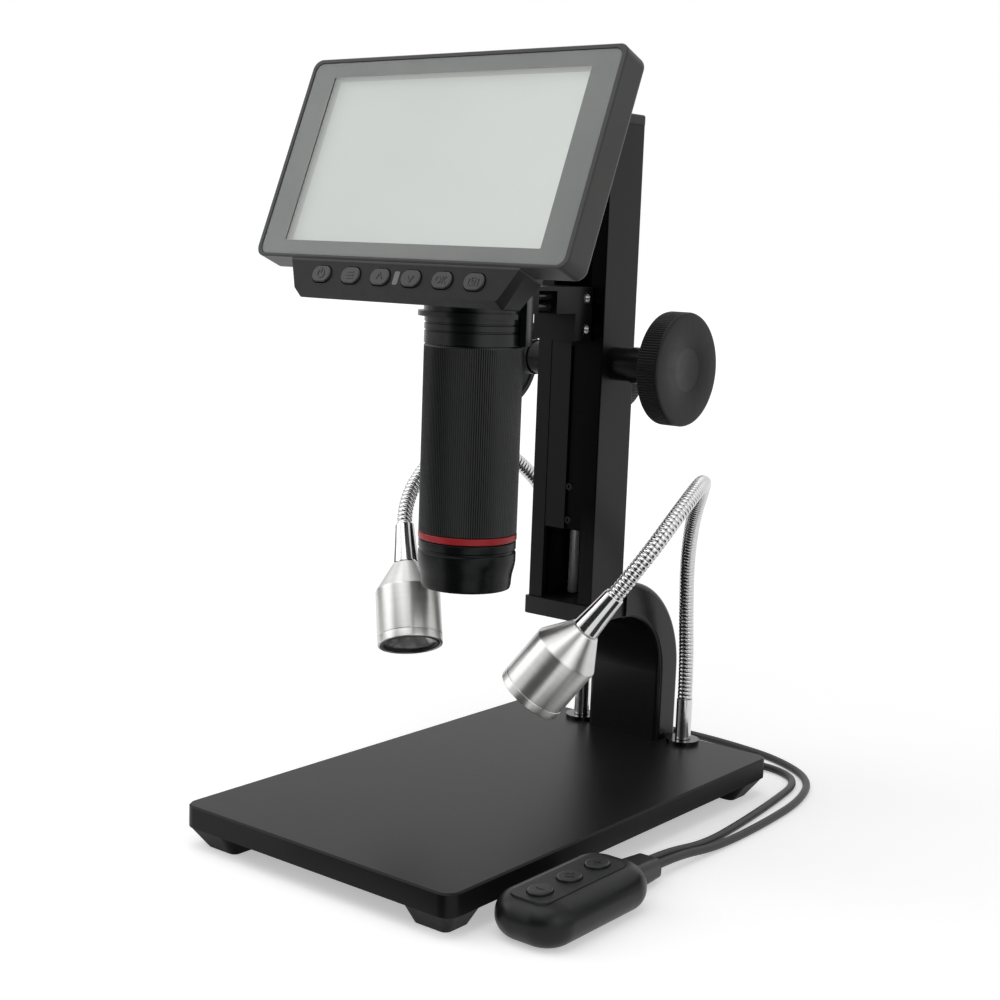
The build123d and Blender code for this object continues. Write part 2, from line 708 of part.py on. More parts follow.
def controller_key(y):
    """Oval key with its skirt in the case's well."""
    cap = Pos(CTL_X, y, CTL_H - 1.4) * extrude(Ellipse(3.7, 4.65), 2.6)
    return fillet(cap.faces().sort_by(Axis.Z)[-1].edges(), 0.6)


LAMP_CORD = [
    (RELIEF_X - 2.8, RELIEF_Y, 4.6), (RELIEF_X - 2.8, 4.0, 4.6), (73.9, 28.0, 1.55),
    (72.2, 56.0, 1.55), (68.9, 86.5, 1.55), (64.3, 115.5, 1.55), (47.7, 125.1, 1.55),
    (GUIDE_X, 115.5, GUIDE_Z), (GUIDE_X, BASE_L / 2 - 1, GUIDE_Z),
]
USB_CORD = [
    (RELIEF_X + 1.8, RELIEF_Y, 4.6), (RELIEF_X + 1.8, 5.0, 4.6), (78.5, 29.0, 1.55),
    (78.6, 62.0, 1.55), (76.0, 96.0, 1.55), (66.0, 122.0, 1.55), (44.0, 136.0, 1.55),
    (20.0, 140.6, 1.55), (-2.0, 140.6, 2.6), (-19.0, 139.9, 2.6),
]
TAIL = [(-32.0, 137.2, 2.9), (-37.6, 149.5, 2.9)]


def usb_coil():
    """Outer form of the wound lead, tied flat behind the stand."""
    body = Pos(COIL_C[0], COIL_C[1], COIL_T) * Torus(COIL_R, COIL_T)
    return body


def usb_plug():
    a = Vector(*TAIL[0])
    b = Vector(*TAIL[1])
    d = Vector(b.X - a.X, b.Y - a.Y, 0).normalized()
    place = Plane(origin=(b.X, b.Y, 3.9), x_dir=(d.Y, -d.X, 0), z_dir=tuple(d))
    grip = place * extrude(RectangleRounded(14.5, 7.6, 2), 22)
    blade = place * Pos(0, 0, 21.5) * extrude(Rectangle(12, 4.5), 12.5)
    cut = place * Pos(0, 0.6, 26) * extrude(Rectangle(11.2, 2.4), 10)
    return grip + blade - cut


# ---------------------------------------------------------------- export
def main():
    os.makedirs("parts", exist_ok=True)
    save("base_plate", base_plate())
    save("base_feet", foot(1, 1), foot(1, -1), foot(-1, 1), foot(-1, -1))
    save("stand_bracket", stand_bracket())
    save("bracket_bolts", *bracket_bolts())
    save("column", column())
    save("column_bottom_cap", column_cap(CAP_Z0, COL_Z0, 1.15, 0, 0.5))
    save("column_top_cap", column_cap(COL_Z1, COL_Z1 + 3.6, 0.3, -1, 0.9))
    save("guide_strip", block(-7.6, 7.6, 49.85, CHAN_Y, COL_Z0, 154))
    save("drive_collars", drive_collar(), mirrored(drive_collar()))
    save("neck_sockets", neck_socket(-SOCKET_X), neck_socket(SOCKET_X))
    save("cord_guide", cord_guide())
    save("pinion_shaft", pinion())
    save("gear_rack", gear_rack())
    save("knob_right", knob())
    save("knob_left", mirrored(knob()))
    save("tension_knob", tension_knob())
    save("carriage", carriage())
    save("head_bracket", head_bracket())
    save("bracket_screws", *carriage_screws(), *arm_screws())
    save("saddle", saddle())
    save("saddle_studs", *saddle_studs())
    save("head_housing", head_housing())
    save("lens_tube", lens_tube())
    save("sensor_board", sensor_board())
    save("objective_lens", objective_lens())
    save("focus_sleeve", focus_sleeve())
    save("accent_ring", accent_ring())
    save("lens_hood", lens_hood())
    save("screen_bezel", screen_bezel())
    save("screen_rear_cover", screen_rear_cover())
    save("cover_screws", *cover_screws())
    save("cover_glass", cover_glass())
    save("lcd_panel", lcd_panel())
    save("main_board", main_board())
    names = ("power_button", "menu_button", "up_button", "down_button", "ok_button", "camera_button")
    for name, x in zip(names, KEY_X):
        save(name, key(x))
    save("status_window", status_window())
    for side, points, lamp in (("left", NECK_LEFT, LAMP_LEFT), ("right", NECK_RIGHT, LAMP_RIGHT)):
        lower, upper = neck_pair(points, lamp, side)
        save("neck_lower_" + side, lower)
        save("neck_upper_" + side, upper)
        ferrule, housing, lens = lamp_parts(lamp)
        save("lamp_ferrule_" + side, ferrule)
        save("lamp_housing_" + side, housing)
        save("lamp_lens_" + side, lens)
    save("controller_case", controller_case())
    save("controller_cover", controller_cover())
    for name, y in zip(("dim_button", "switch_button", "bright_button"), CTL_KEYS):
        save(name, controller_key(y))
    save("lamp_cord", tube(LAMP_CORD, CORD_R, "lamp_cord"))
    save("usb_cord", tube(USB_CORD, CORD_R, "usb_cord"), tube(TAIL, CORD_R, "usb_tail"))
    save("usb_coil", usb_coil())
    save("usb_plug", usb_plug())


main()
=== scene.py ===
import json

import bpy
import numpy as np
from mathutils import Matrix, Vector


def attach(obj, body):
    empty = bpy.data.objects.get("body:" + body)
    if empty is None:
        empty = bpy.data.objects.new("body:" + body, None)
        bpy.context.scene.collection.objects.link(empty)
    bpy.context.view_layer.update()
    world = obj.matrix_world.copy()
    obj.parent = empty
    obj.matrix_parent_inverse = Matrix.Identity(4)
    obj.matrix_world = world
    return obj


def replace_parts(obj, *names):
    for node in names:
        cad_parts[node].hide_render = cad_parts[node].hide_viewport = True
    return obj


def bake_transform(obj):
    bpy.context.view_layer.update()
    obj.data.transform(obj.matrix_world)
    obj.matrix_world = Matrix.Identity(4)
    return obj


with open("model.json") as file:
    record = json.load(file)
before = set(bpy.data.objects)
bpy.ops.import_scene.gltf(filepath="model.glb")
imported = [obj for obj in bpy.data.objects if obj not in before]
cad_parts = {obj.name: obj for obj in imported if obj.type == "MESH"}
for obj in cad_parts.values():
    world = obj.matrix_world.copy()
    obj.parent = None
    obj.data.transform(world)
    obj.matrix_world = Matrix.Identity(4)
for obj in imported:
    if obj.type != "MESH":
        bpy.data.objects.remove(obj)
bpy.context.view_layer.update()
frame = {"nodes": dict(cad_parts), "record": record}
nodes = frame["nodes"]
mm = 0.001
tau = 2 * np.pi


def put(name, data):
    # a new object of the data, in the scene
    made = bpy.data.objects.new(name, data)
    bpy.context.scene.collection.objects.link(made)
    return made


# ---- camera

cameraSetup = {
    "place": (0.35965, -0.46258, 0.20857),
    "azimuth": 38.055,
    "elevation": 8.67,
    "roll": 2.132,
    "lens": 59.33,
    "sensor": 36.0,
}


def placeCamera(setup):
    # back points from the subject to the lens; right and up are turned about it by the roll
    a, e, r = (np.radians(setup[k]) for k in ("azimuth", "elevation", "roll"))
    back = np.array([np.sin(a) * np.cos(e), -np.cos(a) * np.cos(e), np.sin(e)])
    level = np.array([np.cos(a), np.sin(a), 0])
    rise = np.cross(back, level)
    right = np.cos(r) * level + np.sin(r) * rise
    up = np.cross(back, right)
    data = bpy.data.cameras.new("camera")
    data.lens = setup["lens"]
    data.sensor_width = setup["sensor"]
    data.clip_start = 0.01
    data.clip_end = 50
    cam = put("camera", data)
    cam.matrix_world = Matrix.Translation(setup["place"]) @ Matrix(np.column_stack([right, up, back])).to_4x4()
    bpy.context.scene.camera = cam


placeCamera(cameraSetup)
bpy.context.scene.view_settings.view_transform = "Standard"


# ---- node-tree helpers shared by every finish

class Finish:
    # the node tree of a new material, or of the world given, with short calls for the nodes it uses

    def __init__(self, name, world=None):
        self.owner = world or bpy.data.materials.new(name)
        self.owner.use_nodes = True
        self.tree = self.owner.node_tree
        self.tree.nodes.clear()
        self.out = self.node("ShaderNodeOutputWorld" if world else "ShaderNodeOutputMaterial")

    def node(self, kind, **values):
        # values that start with in_ set an input socket, and the others a property
        made = self.tree.nodes.new(kind)
        for key, value in values.items():
            if key.startswith("in_"):
                made.inputs[key[3:].replace("_", " ")].default_value = value
            else:
                setattr(made, key, value)
        return made

    def link(self, a, b):
        self.tree.links.new(a, b)

    def give(self, socket, value):
        # a number, a colour, or a socket that carries one
        if isinstance(value, (int, float)):
            socket.default_value = value
        elif isinstance(value, tuple):
            socket.default_value = (*value, 1)
        else:
            self.link(value, socket)

    def place(self, stretch=(1, 1, 1), own=False):
        # object coordinates, or the piece's own turning coordinates, stretched
        if own:
            source = self.node("ShaderNodeAttribute", attribute_name="own").outputs["Vector"]
        else:
            source = self.node("ShaderNodeTexCoord").outputs["Object"]
        m = self.node("ShaderNodeMapping")
        m.inputs["Scale"].default_value = stretch
        self.link(source, m.inputs["Vector"])
        return m.outputs[0]

    def noise(self, scale, detail=3, stretch=(1, 1, 1), own=False):
        # fractal noise, near 0.5, mostly between 0.3 and 0.7
        n = self.node("ShaderNodeTexNoise", in_Scale=scale, in_Detail=detail, in_Roughness=0.55)
        self.link(self.place(stretch, own), n.inputs["Vector"])
        return n.outputs["Fac"]

    def span(self, value, low, high, fromLow=0.3, fromHigh=0.7):
        # straight line from (fromLow, low) to (fromHigh, high), level past its ends
        m = self.node("ShaderNodeMapRange")
        for key, number in (("From Min", fromLow), ("From Max", fromHigh), ("To Min", low), ("To Max", high)):
            m.inputs[key].default_value = number
        self.link(value, m.inputs["Value"])
        return m.outputs[0]

    def blendColour(self, value, first, second, fromLow=0.35, fromHigh=0.65):
        # first where value is below fromLow, second above fromHigh, and a blend between them
        mix = self.node("ShaderNodeMix", data_type="RGBA")
        self.give(mix.inputs["A"], first)
        self.give(mix.inputs["B"], second)
        self.link(self.span(value, 0, 1, fromLow, fromHigh), mix.inputs["Factor"])
        return mix.outputs["Result"]

    def math(self, kind, a, b):
        m = self.node("ShaderNodeMath", operation=kind)
        self.give(m.inputs[0], a)
        self.give(m.inputs[1], b)
        return m.outputs[0]

    def along(self, direction, start):
        # how far a point lies past start along a direction
        dot = self.node("ShaderNodeVectorMath", operation="DOT_PRODUCT")
        self.link(self.place(), dot.inputs[0])
        dot.inputs[1].default_value = direction
        return self.math("SUBTRACT", dot.outputs["Value"], float(np.dot(direction, start)))

    def bump(self, height, strength, distance):
        b = self.node("ShaderNodeBump", in_Strength=strength, in_Distance=distance)
        self.link(height, b.inputs["Height"])
        return b.outputs[0]

    def shader(self, colour, rough, normal=None, **values):
        # other values go by the socket's name, with _ for a space
        p = self.node("ShaderNodeBsdfPrincipled")
        values.update(Base_Color=colour, Roughness=rough)
        if normal:
            values["Normal"] = normal
        for key, value in values.items():
            self.give(p.inputs[key.replace("_", " ")], value)
        return p.outputs[0]

    def mix(self, share, first, second):
        m = self.node("ShaderNodeMixShader")
        for i, value in enumerate((share, first, second)):
            self.link(value, m.inputs[i])
        return m.outputs[0]

    def done(self, shader):
        self.link(shader, self.out.inputs["Surface"])
        return self.owner


# ---- finishes

def moulded(name, dark, light, rough, grain=900, depth=0.02, strength=0.25, stretch=(1, 1, 1), vary=0.025, **values):
    # plastic, paint or anodised metal: cloudy colour, uneven gloss and a fine grain, stretched where it was drawn
    f = Finish(name)
    colour = f.blendColour(f.noise(30, 4, stretch), dark, light)
    gloss = f.span(f.noise(260, 3, stretch), rough - vary, rough + vary)
    normal = f.bump(f.noise(grain, 2, stretch), strength, depth * mm)
    return f.done(f.shader(colour, gloss, normal, **values))


def turnedMetal(name, dark, light, rough, vary, rings, depth, strength, along=None, **values):
    # bright metal cut on a lathe: fine rings round the piece's own axis, a little uneven in tone and gloss; where the
    # axis is given, the rings smear what they mirror along it
    f = Finish(name)
    fine = f.noise(1.0, 2, (25, 25, rings), own=True)
    broad = f.noise(1.0, 3, (40, 40, rings / 5), own=True)
    colour = f.blendColour(f.math("MULTIPLY", f.math("ADD", fine, broad), 0.5), dark, light, 0.3, 0.7)
    if along is not None:
        axis = f.node("ShaderNodeCombineXYZ", in_X=along[0], in_Y=along[1], in_Z=along[2])
        turned = f.node("ShaderNodeVectorTransform", vector_type="VECTOR", convert_from="OBJECT", convert_to="WORLD")
        f.link(axis.outputs[0], turned.inputs[0])
        values.update(Tangent=turned.outputs[0], Anisotropic=0.88)
    return f.done(f.shader(colour, f.span(broad, rough - vary, rough + vary),
                           f.bump(fine, strength, depth * mm), Metallic=1.0, **values))


def screenCase(barTop=-0.0375):
    # the display's moulding; the key bar is a darker tone, split at its top edge, a height up the glass
    f = Finish("screen case")
    upward = f.along(tuple(screenFrame["up"]), tuple(screenFrame["centre"] * mm))
    above = f.span(upward, 0, 1, barTop - 0.0003, barTop + 0.0003)
    bezel = f.blendColour(f.noise(30, 4), (0.047, 0.047, 0.046), (0.055, 0.055, 0.054))
    bar = f.blendColour(f.noise(30, 4), (0.004, 0.004, 0.004), (0.006, 0.006, 0.006))
    colour = f.blendColour(above, bar, bezel, 0, 1)
    gloss = f.math("ADD", f.span(f.noise(260, 3), -0.02, 0.02), f.span(above, 0.5, 0.4, 0, 1))
    return f.done(f.shader(colour, gloss, f.bump(f.noise(1300, 2), 0.25, 0.02 * mm), Specular_IOR_Level=0.2))


def drawnBlackWithPaintedShade(name, right, front, low, high, level):
    # drawn black; what lies past right in x and short of front in y carries painted shade, a darker black metal, by a
    # share that grows from level at the height low to 1 at the height high
    f = Finish(name)
    paintedShade = f.math("MULTIPLY", f.math("GREATER_THAN", f.along((1, 0, 0), (right, 0, 0)), 0),
                  f.math("LESS_THAN", f.along((0, 1, 0), (0, front, 0)), 0))
    paintedShade = f.math("MULTIPLY", paintedShade, f.span(f.along((0, 0, 1), (0, 0, 0)), level, 1, low, high))
    drawn = (1, 1, 0.03)
    plain = f.blendColour(f.noise(30, 4, drawn), (0.0035, 0.0035, 0.004), (0.005, 0.005, 0.0055))
    # painted shade: the darker black where the share reaches 1
    colour = f.blendColour(paintedShade, plain, (0.005, 0.005, 0.005), 0, 1)
    return f.done(f.shader(colour, f.span(f.noise(260, 3, drawn), 0.34, 0.38),
                           f.bump(f.noise(1500, 2, drawn), 0.3, 0.012 * mm), Metallic=paintedShade, Specular_IOR_Level=0.17))


def knobFinish(discRadius=0.0078, discHeight=0.00862):
    # satin plastic, a shade lighter on the disc let into each wheel's face: near the axis, and at the disc's height
    f = Finish("knob plastic")
    own = f.node("ShaderNodeSeparateXYZ")
    f.link(f.place(own=True), own.inputs[0])
    outward = f.math("SQRT", f.math("ADD", f.math("POWER", own.outputs[0], 2), f.math("POWER", own.outputs[1], 2)), 0)
    level = f.math("COMPARE", own.outputs[2], discHeight)
    level.node.inputs[2].default_value = 0.00005  # how far from it still counts as equal
    disc = f.math("MULTIPLY", f.math("LESS_THAN", outward, discRadius), level)
    wheel = f.blendColour(f.noise(30, 4), (0.006, 0.006, 0.006), (0.008, 0.008, 0.008))
    inset = f.blendColour(f.noise(30, 4), (0.022, 0.022, 0.022), (0.026, 0.026, 0.026))
    return f.done(f.shader(f.blendColour(disc, wheel, inset, 0, 1), f.span(f.noise(260, 3), 0.44, 0.49),
                           f.bump(f.noise(1300, 2), 0.3, 0.02 * mm), Specular_IOR_Level=0.21))


def heightSplitMetal(name, height, below, above, rough, detail, strength, depth):
    # polished metal, one colour below a height above the ground and another above it; on the bracket screws the split
    # paints shade below and glints above
    f = Finish(name)
    colour = f.blendColour(f.along((0, 0, 1), (0, 0, height)), below, above, 0, 0.0001)
    normal = f.bump(f.noise(900, detail), strength, depth * mm)
    return f.done(f.shader(colour, f.span(f.noise(300, 3), *rough), normal, Metallic=1.0))


def displayFace(halfWidth=0.0548, halfHeight=0.0304):
    # pale unlit display with a grey surround, which starts where |x| or the height up the glass passes half the size;
    # the pale part grows lighter to the lower right, a painted sheen
    f = Finish("display face")
    across = f.math("ABSOLUTE", f.along((1, 0, 0), (0, 0, 0)), 0)
    upward = f.math("ABSOLUTE", f.along(tuple(screenFrame["up"]), tuple(screenFrame["centre"] * mm)), 0)
    inside = f.math("MULTIPLY", f.math("LESS_THAN", across, halfWidth), f.math("LESS_THAN", upward, halfHeight))
    lit = f.blendColour(f.noise(9, 1), (0.70, 0.75, 0.71), (0.74, 0.78, 0.75))
    # painted sheen: lighter towards the lower right
    lit = f.blendColour(f.along((0.8, 0, -0.6), (0, 0, 0.2373)), lit, (0.84, 0.88, 0.85), -0.02, 0.06)
    colour = f.blendColour(inside, (0.60, 0.62, 0.60), lit, 0, 1)
    return f.done(f.shader(colour, f.span(f.noise(60, 2), 0.4, 0.5), f.bump(f.noise(2500, 1), 0.1, 0.004 * mm)))


def clearPane(name, tint, share, rough):
    # thin clear sheet: mostly open, with a weak coat of gloss and a trace of dust
    f = Finish(name)
    colour = f.blendColour(f.noise(40, 3), tint, tuple(min(1.0, c * 1.15) for c in tint))
    return f.done(f.shader(colour, f.span(f.noise(300, 3), rough, rough + 0.05),
                           f.bump(f.noise(30, 1), 0.05, 0.002 * mm), Alpha=share, IOR=1.5))


def clearSolid(name, tint, rough, ior):
    # moulded or ground glass: tinted, with a trace of flow in it
    f = Finish(name)
    colour = f.blendColour(f.noise(60, 2), tint, tuple(min(1.0, c * 1.06) for c in tint))
    return f.done(f.shader(colour, f.span(f.noise(200, 2), rough, rough + 0.03),
                           f.bump(f.noise(90, 1), 0.1, 0.003 * mm), Transmission_Weight=1.0, IOR=ior))


def plugFinish(start=(-37.6, 149.5, 3.9), way=(-5.6, 12.3, 0.0), gripLength=22.1):
    # moulded grip that begins at start and runs the way given, with a bright steel blade past it
    f = Finish("plug")
    way = np.array(way) / np.linalg.norm(way)
    blade = f.math("GREATER_THAN", f.along(tuple(way), tuple(np.array(start) * mm)), gripLength * mm)
    grip = f.shader(f.blendColour(f.noise(60, 3), (0.012, 0.012, 0.012), (0.018, 0.018, 0.018)), 0.38,
                    f.bump(f.noise(900, 2), 0.3, 0.02 * mm))
    steel = f.shader(f.blendColour(f.noise(900, 3), (0.55, 0.55, 0.55), (0.68, 0.68, 0.67)), 0.24, Metallic=1.0)
    return f.done(f.mix(blade, grip, steel))


tilt = np.radians(22.07)
screenFrame = {
    "centre": np.array([0, -46.9, 237.3]),
    "up": np.array([0, np.sin(tilt), np.cos(tilt)]),
    "out": np.array([0, -np.cos(tilt), np.sin(tilt)]),
}
tones = {
    "matte_black_paint": dict(dark=(0.0045, 0.0045, 0.005), light=(0.006, 0.006, 0.0065), rough=0.36, grain=1500,
                              depth=0.012, strength=0.2, vary=0.006, Specular_IOR_Level=0.14),
    "gloss_black_paint": dict(dark=(0.005, 0.005, 0.005), light=(0.007, 0.007, 0.007), rough=0.24, grain=160,
                              depth=0.02, strength=0.1, vary=0.015, Specular_IOR_Level=0.22),
    "black_anodised": dict(dark=(0.0035, 0.0035, 0.004), light=(0.005, 0.005, 0.0055), rough=0.36, grain=1500,
                           depth=0.012, strength=0.3, stretch=(1, 1, 0.03), Specular_IOR_Level=0.17),
    "barrel_black": dict(dark=(0.0025, 0.0035, 0.0032), light=(0.004, 0.0054, 0.005), rough=0.3, grain=1400,
                         depth=0.01, strength=0.15, Specular_IOR_Level=0.35),
    "red_anodised": dict(dark=(0.28, 0.008, 0.012), light=(0.34, 0.012, 0.017), rough=0.36, grain=900, depth=0.01,
                         Specular_IOR_Level=0.3),
    "black_plastic": dict(dark=(0.006, 0.006, 0.0065), light=(0.009, 0.009, 0.0095), rough=0.42, grain=1100,
                          depth=0.02, Specular_IOR_Level=0.3),
    "foot_plastic": dict(dark=(0.003, 0.003, 0.003), light=(0.005, 0.005, 0.005), rough=0.5, grain=1100, depth=0.02,
                         Specular_IOR_Level=0.1),
    "key_plastic": dict(dark=(0.012, 0.012, 0.0118), light=(0.016, 0.016, 0.0157), rough=0.4, grain=1200, depth=0.02,
                        Specular_IOR_Level=0.42),
    "window_plastic": dict(dark=(0.06, 0.06, 0.06), light=(0.08, 0.08, 0.08), rough=0.25, grain=900, depth=0.01),
    "controller_plastic": dict(dark=(0.004, 0.0045, 0.0045), light=(0.006, 0.0065, 0.0065), rough=0.36, grain=900,
                               depth=0.012, Specular_IOR_Level=0.26),
    "cover_plastic": dict(dark=(0.008, 0.0085, 0.009), light=(0.012, 0.0125, 0.013), rough=0.46, grain=900,
                          depth=0.02, Specular_IOR_Level=0.3),
    "controller_key": dict(dark=(0.010, 0.0105, 0.011), light=(0.014, 0.0145, 0.015), rough=0.4, grain=900,
                           depth=0.02, Specular_IOR_Level=0.38),
    "cord_rubber": dict(dark=(0.022, 0.021, 0.021), light=(0.03, 0.028, 0.028), rough=0.45, grain=700, depth=0.03,
                        Specular_IOR_Level=0.4),
    "board": dict(dark=(0.005, 0.06, 0.02), light=(0.01, 0.09, 0.035), rough=0.4, grain=400, depth=0.03),
    "guide_steel": dict(dark=(0.74, 0.75, 0.745), light=(0.82, 0.83, 0.825), rough=0.3, grain=1200, depth=0.01,
                        stretch=(1, 1, 0.03), Metallic=0.55),
    "screw_steel": dict(dark=(0.008, 0.008, 0.008), light=(0.012, 0.012, 0.012), rough=0.22, grain=900, depth=0.01,
                        vary=0.02, Specular_IOR_Level=0.45),
    "drive_steel": dict(dark=(0.02, 0.02, 0.021), light=(0.03, 0.03, 0.031), rough=0.3, grain=900, depth=0.01,
                        vary=0.02, Specular_IOR_Level=0.6),
}
paintedShadeFronts = {  # painted shade: on the column the front of its right wall, on the carriage all right of its slot; in metres
    "column": dict(right=0.0084, front=0.0358, low=0.098, high=0.114, level=0.4),
    "carriage": dict(right=0.0005, front=0.0372, low=0.089, high=0.105, level=0.4),
}
heightSplitMetals = {  # dark below the height are the sockets' washers and the carriage's screws, bright above it the sleeves and the arm's screws; on the screws, one kind of part, the dark is painted shade and the bright a painted glint
    "neck_sockets": dict(name="socket chrome", height=0.017, below=(0.06, 0.06, 0.062), above=(0.68, 0.68, 0.68),
                         rough=(0.12, 0.2), detail=1, strength=0.1, depth=0.002),
    "bracket_screws": dict(name="bracket screws", height=0.16, below=(0.02, 0.02, 0.02), above=(0.62, 0.62, 0.62),
                           rough=(0.16, 0.22), detail=2, strength=0.2, depth=0.005),
}
finishes = {slot: moulded(slot.replace("_", " "), **tone) for slot, tone in tones.items()}
finishes["neck_chrome"] = turnedMetal("bright chrome", (0.58, 0.58, 0.58), (0.65, 0.65, 0.65), 0.14, 0.02, 900,
                                      0.001, 0.2)
finishes["lamp_aluminium"] = turnedMetal("turned aluminium", (0.56, 0.56, 0.55), (0.64, 0.64, 0.63), 0.3, 0.02, 2600,
                                         0.0006, 0.15)
finishes["screen_plastic"] = screenCase()
finishes["knob_plastic"] = knobFinish()
finishes["lcd"] = displayFace()
finishes["screen_glass"] = clearPane("cover glass", (0.30, 0.33, 0.32), 0.05, 0.05)
finishes["lens_glass"] = clearSolid("lens glass", (0.62, 0.68, 0.74), 0.03, 1.5)
finishes["lamp_glass"] = clearPane("lamp window", (0.3, 0.3, 0.3), 0.1, 0.05)
finishes["plug_plastic"] = plugFinish()
slotOf = {entry["node"]: entry["material_slot"] for entry in frame["record"]["subparts"]}
for nodeName, obj in nodes.items():
    for slot in obj.material_slots:
        slot.material = finishes[slotOf[nodeName]]
# the bracket screws get painted shade below the height and painted glints above it
for nodeName, tone in heightSplitMetals.items():
    nodes[nodeName].material_slots[0].material = heightSplitMetal(**tone)
# the column's and carriage's fronts get painted shade
for nodeName, place in paintedShadeFronts.items():
    nodes[nodeName].material_slots[0].material = drawnBlackWithPaintedShade(nodeName + " black", **place)
print("finishes on the frame:", len(finishes))


# ---- mesh helpers: a new piece is one or more grids of points, each wrapped into a closed skin

def outline(corners, closed=False):
    # a corner (x, y, soft) becomes a short parabola tangent to both its sides, starting soft back from it
    found = []
    for k, corner in enumerate(corners):
        here = np.array(corner[:2], float)
        if len(corner) < 3 or (not closed and k in (0, len(corners) - 1)):
            found.append(here[None])
            continue
        ends = []
        for other in (corners[k - 1], corners[(k + 1) % len(corners)]):
            side = np.array(other[:2], float) - here
            ends.append(here + side * min(0.48, corner[2] / np.linalg.norm(side)))
        t = np.linspace(0, 1, 5)[:, None]
        found.append((1 - t) ** 2 * ends[0] + 2 * t * (1 - t) * here + t ** 2 * ends[1])
    return np.vstack(found)


def shell(grid, own=None, wrapAlong=False, hubs=(None, None)):
    # grid[i, j] is profile row i at step j round; quads join the rows, and where they don't wrap along, a fan closes
    # each end at its hub
    rows, cols = grid.shape[:2]
    own = grid if own is None else own
    points, owns = grid.reshape(-1, 3), own.reshape(-1, 3)
    i, j = np.meshgrid(np.arange(rows if wrapAlong else rows - 1), np.arange(cols), indexing="ij")
    up, over = (i + 1) % rows, (j + 1) % cols
    quads = np.stack([i * cols + j, i * cols + over, up * cols + over, up * cols + j], -1).reshape(-1, 4)
    step = np.arange(cols)
    fans = [np.zeros((0, 3), int)]
    if not wrapAlong:
        for hub, row in zip(hubs, (0, rows - 1)):
            centre = grid[row].mean(0) if hub is None else hub[0]
            ownCentre = own[row].mean(0) if hub is None else hub[1]
            fan = np.stack([np.full(cols, len(points)), row * cols + (step + 1) % cols, row * cols + step], -1)
            fans.append(fan[:, ::-1] if row else fan)
            points, owns = np.vstack([points, centre]), np.vstack([owns, ownCentre])
    fans = np.vstack(fans)
    halves = np.vstack([quads[:, [0, 1, 2]], quads[:, [0, 2, 3]], fans])
    a, b, c = (points[halves[:, k]] for k in range(3))
    if np.einsum("ij,ij->i", a, np.cross(b, c)).sum() < 0:  # six times the volume inside
        quads, fans = quads[:, ::-1], fans[:, ::-1]
    return points, owns, quads, fans


def piece(name, slot, body, shells, sharp=35):
    # joins the shells into one mesh in metres, keeps each point's own coordinates, and sets the piece on its body
    points = np.vstack([s[0] for s in shells])
    owns = np.vstack([s[1] for s in shells])
    shift = np.cumsum([0] + [len(s[0]) for s in shells[:-1]])
    quads = np.vstack([s[2] + k for s, k in zip(shells, shift)])
    fans = np.vstack([s[3] + k for s, k in zip(shells, shift)])
    loops = np.concatenate([quads.ravel(), fans.ravel()]).astype(np.int32)
    starts = np.concatenate([np.arange(len(quads)) * 4, len(quads) * 4 + np.arange(len(fans)) * 3]).astype(np.int32)
    mesh = bpy.data.meshes.new(name)
    mesh.vertices.add(len(points))
    mesh.vertices.foreach_set("co", (points * mm).astype(np.float32).ravel())
    mesh.loops.add(len(loops))
    mesh.polygons.add(len(starts))
    mesh.polygons.foreach_set("loop_start", starts)
    mesh.loops.foreach_set("vertex_index", loops)
    mesh.update(calc_edges=True)
    mesh.validate()
    ownAttribute = mesh.attributes.new("own", "FLOAT_VECTOR", "POINT")
    ownAttribute.data.foreach_set("vector", (owns * mm).astype(np.float32).ravel())
    mesh.shade_smooth()
    mesh.set_sharp_from_angle(angle=np.radians(sharp))
    mesh.materials.append(finishes[slot])
    made = put(name, mesh)
    if body:
        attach(made, body)
    return made


def axes(along):
    # two directions square to along, and along itself
    along = np.array(along, float) / np.linalg.norm(along)
    side = np.cross(along, (0, 0, 1.0)) if abs(along[2]) < 0.99 else np.array([1.0, 0, 0])
    side = side / np.linalg.norm(side)
    return np.array([side, np.cross(along, side), along])


def lathe(profile, origin=(0, 0, 0), along=(0, 0, 1), around=96, ring=False, ribs=0, swell=None):
    # a (radius, height) point goes round the axis; with ribs its radius gains swell times a rounded wave round it
    profile = np.array(profile, float)
    turn = tau * np.arange(around) / around
    tops = (None, None)
    if not ring:
        heights = profile[0, 1], profile[-1, 1]
        keep = profile[:, 0] > 1e-6
        swell = None if swell is None else np.array(swell)[keep]
        profile = profile[keep]
        tops = [(np.array([0, 0, h]) @ axes(along) + origin, np.array([0, 0, h])) for h in heights]
    radius = np.repeat(profile[:, :1], around, 1)
    if ribs:
        radius = radius + np.array(swell)[:, None] * (np.abs(np.sin(turn * ribs / 2)) - 1)
    height = np.repeat(profile[:, 1:], around, 1)
    own = np.stack([radius * np.cos(turn), radius * np.sin(turn), height], -1)
    return shell(own @ axes(along) + origin, own, wrapAlong=ring, hubs=tops)


def ribbon(points, width, low, high, place):
    # a raised stroke: each point of the line is set off by half the width to both sides, mitred at the corners
    points = np.array(points, float)
    runs = np.diff(points, axis=0)
    runs = runs / np.linalg.norm(runs, axis=1)[:, None]
    before = np.vstack([runs[:1], runs])
    after = np.vstack([runs, runs[-1:]])
    side = np.stack([-before[:, 1] - after[:, 1], before[:, 0] + after[:, 0]], 1)
    side = side / np.einsum("ij,ij->i", side, np.stack([-after[:, 1], after[:, 0]], 1))[:, None] * width / 2
    grid = np.stack([np.column_stack([points + s * side, np.full(len(points), h)])
                     for s, h in ((1, low), (1, high), (-1, high), (-1, low))], 1)
    return shell(place(grid))


def arc(centre, radius, start, end, steps=14):
    # points on a circle from one angle to another, in degrees
    a = np.radians(np.linspace(start, end, steps))
    return np.column_stack([centre[0] + radius * np.cos(a), centre[1] + radius * np.sin(a)])


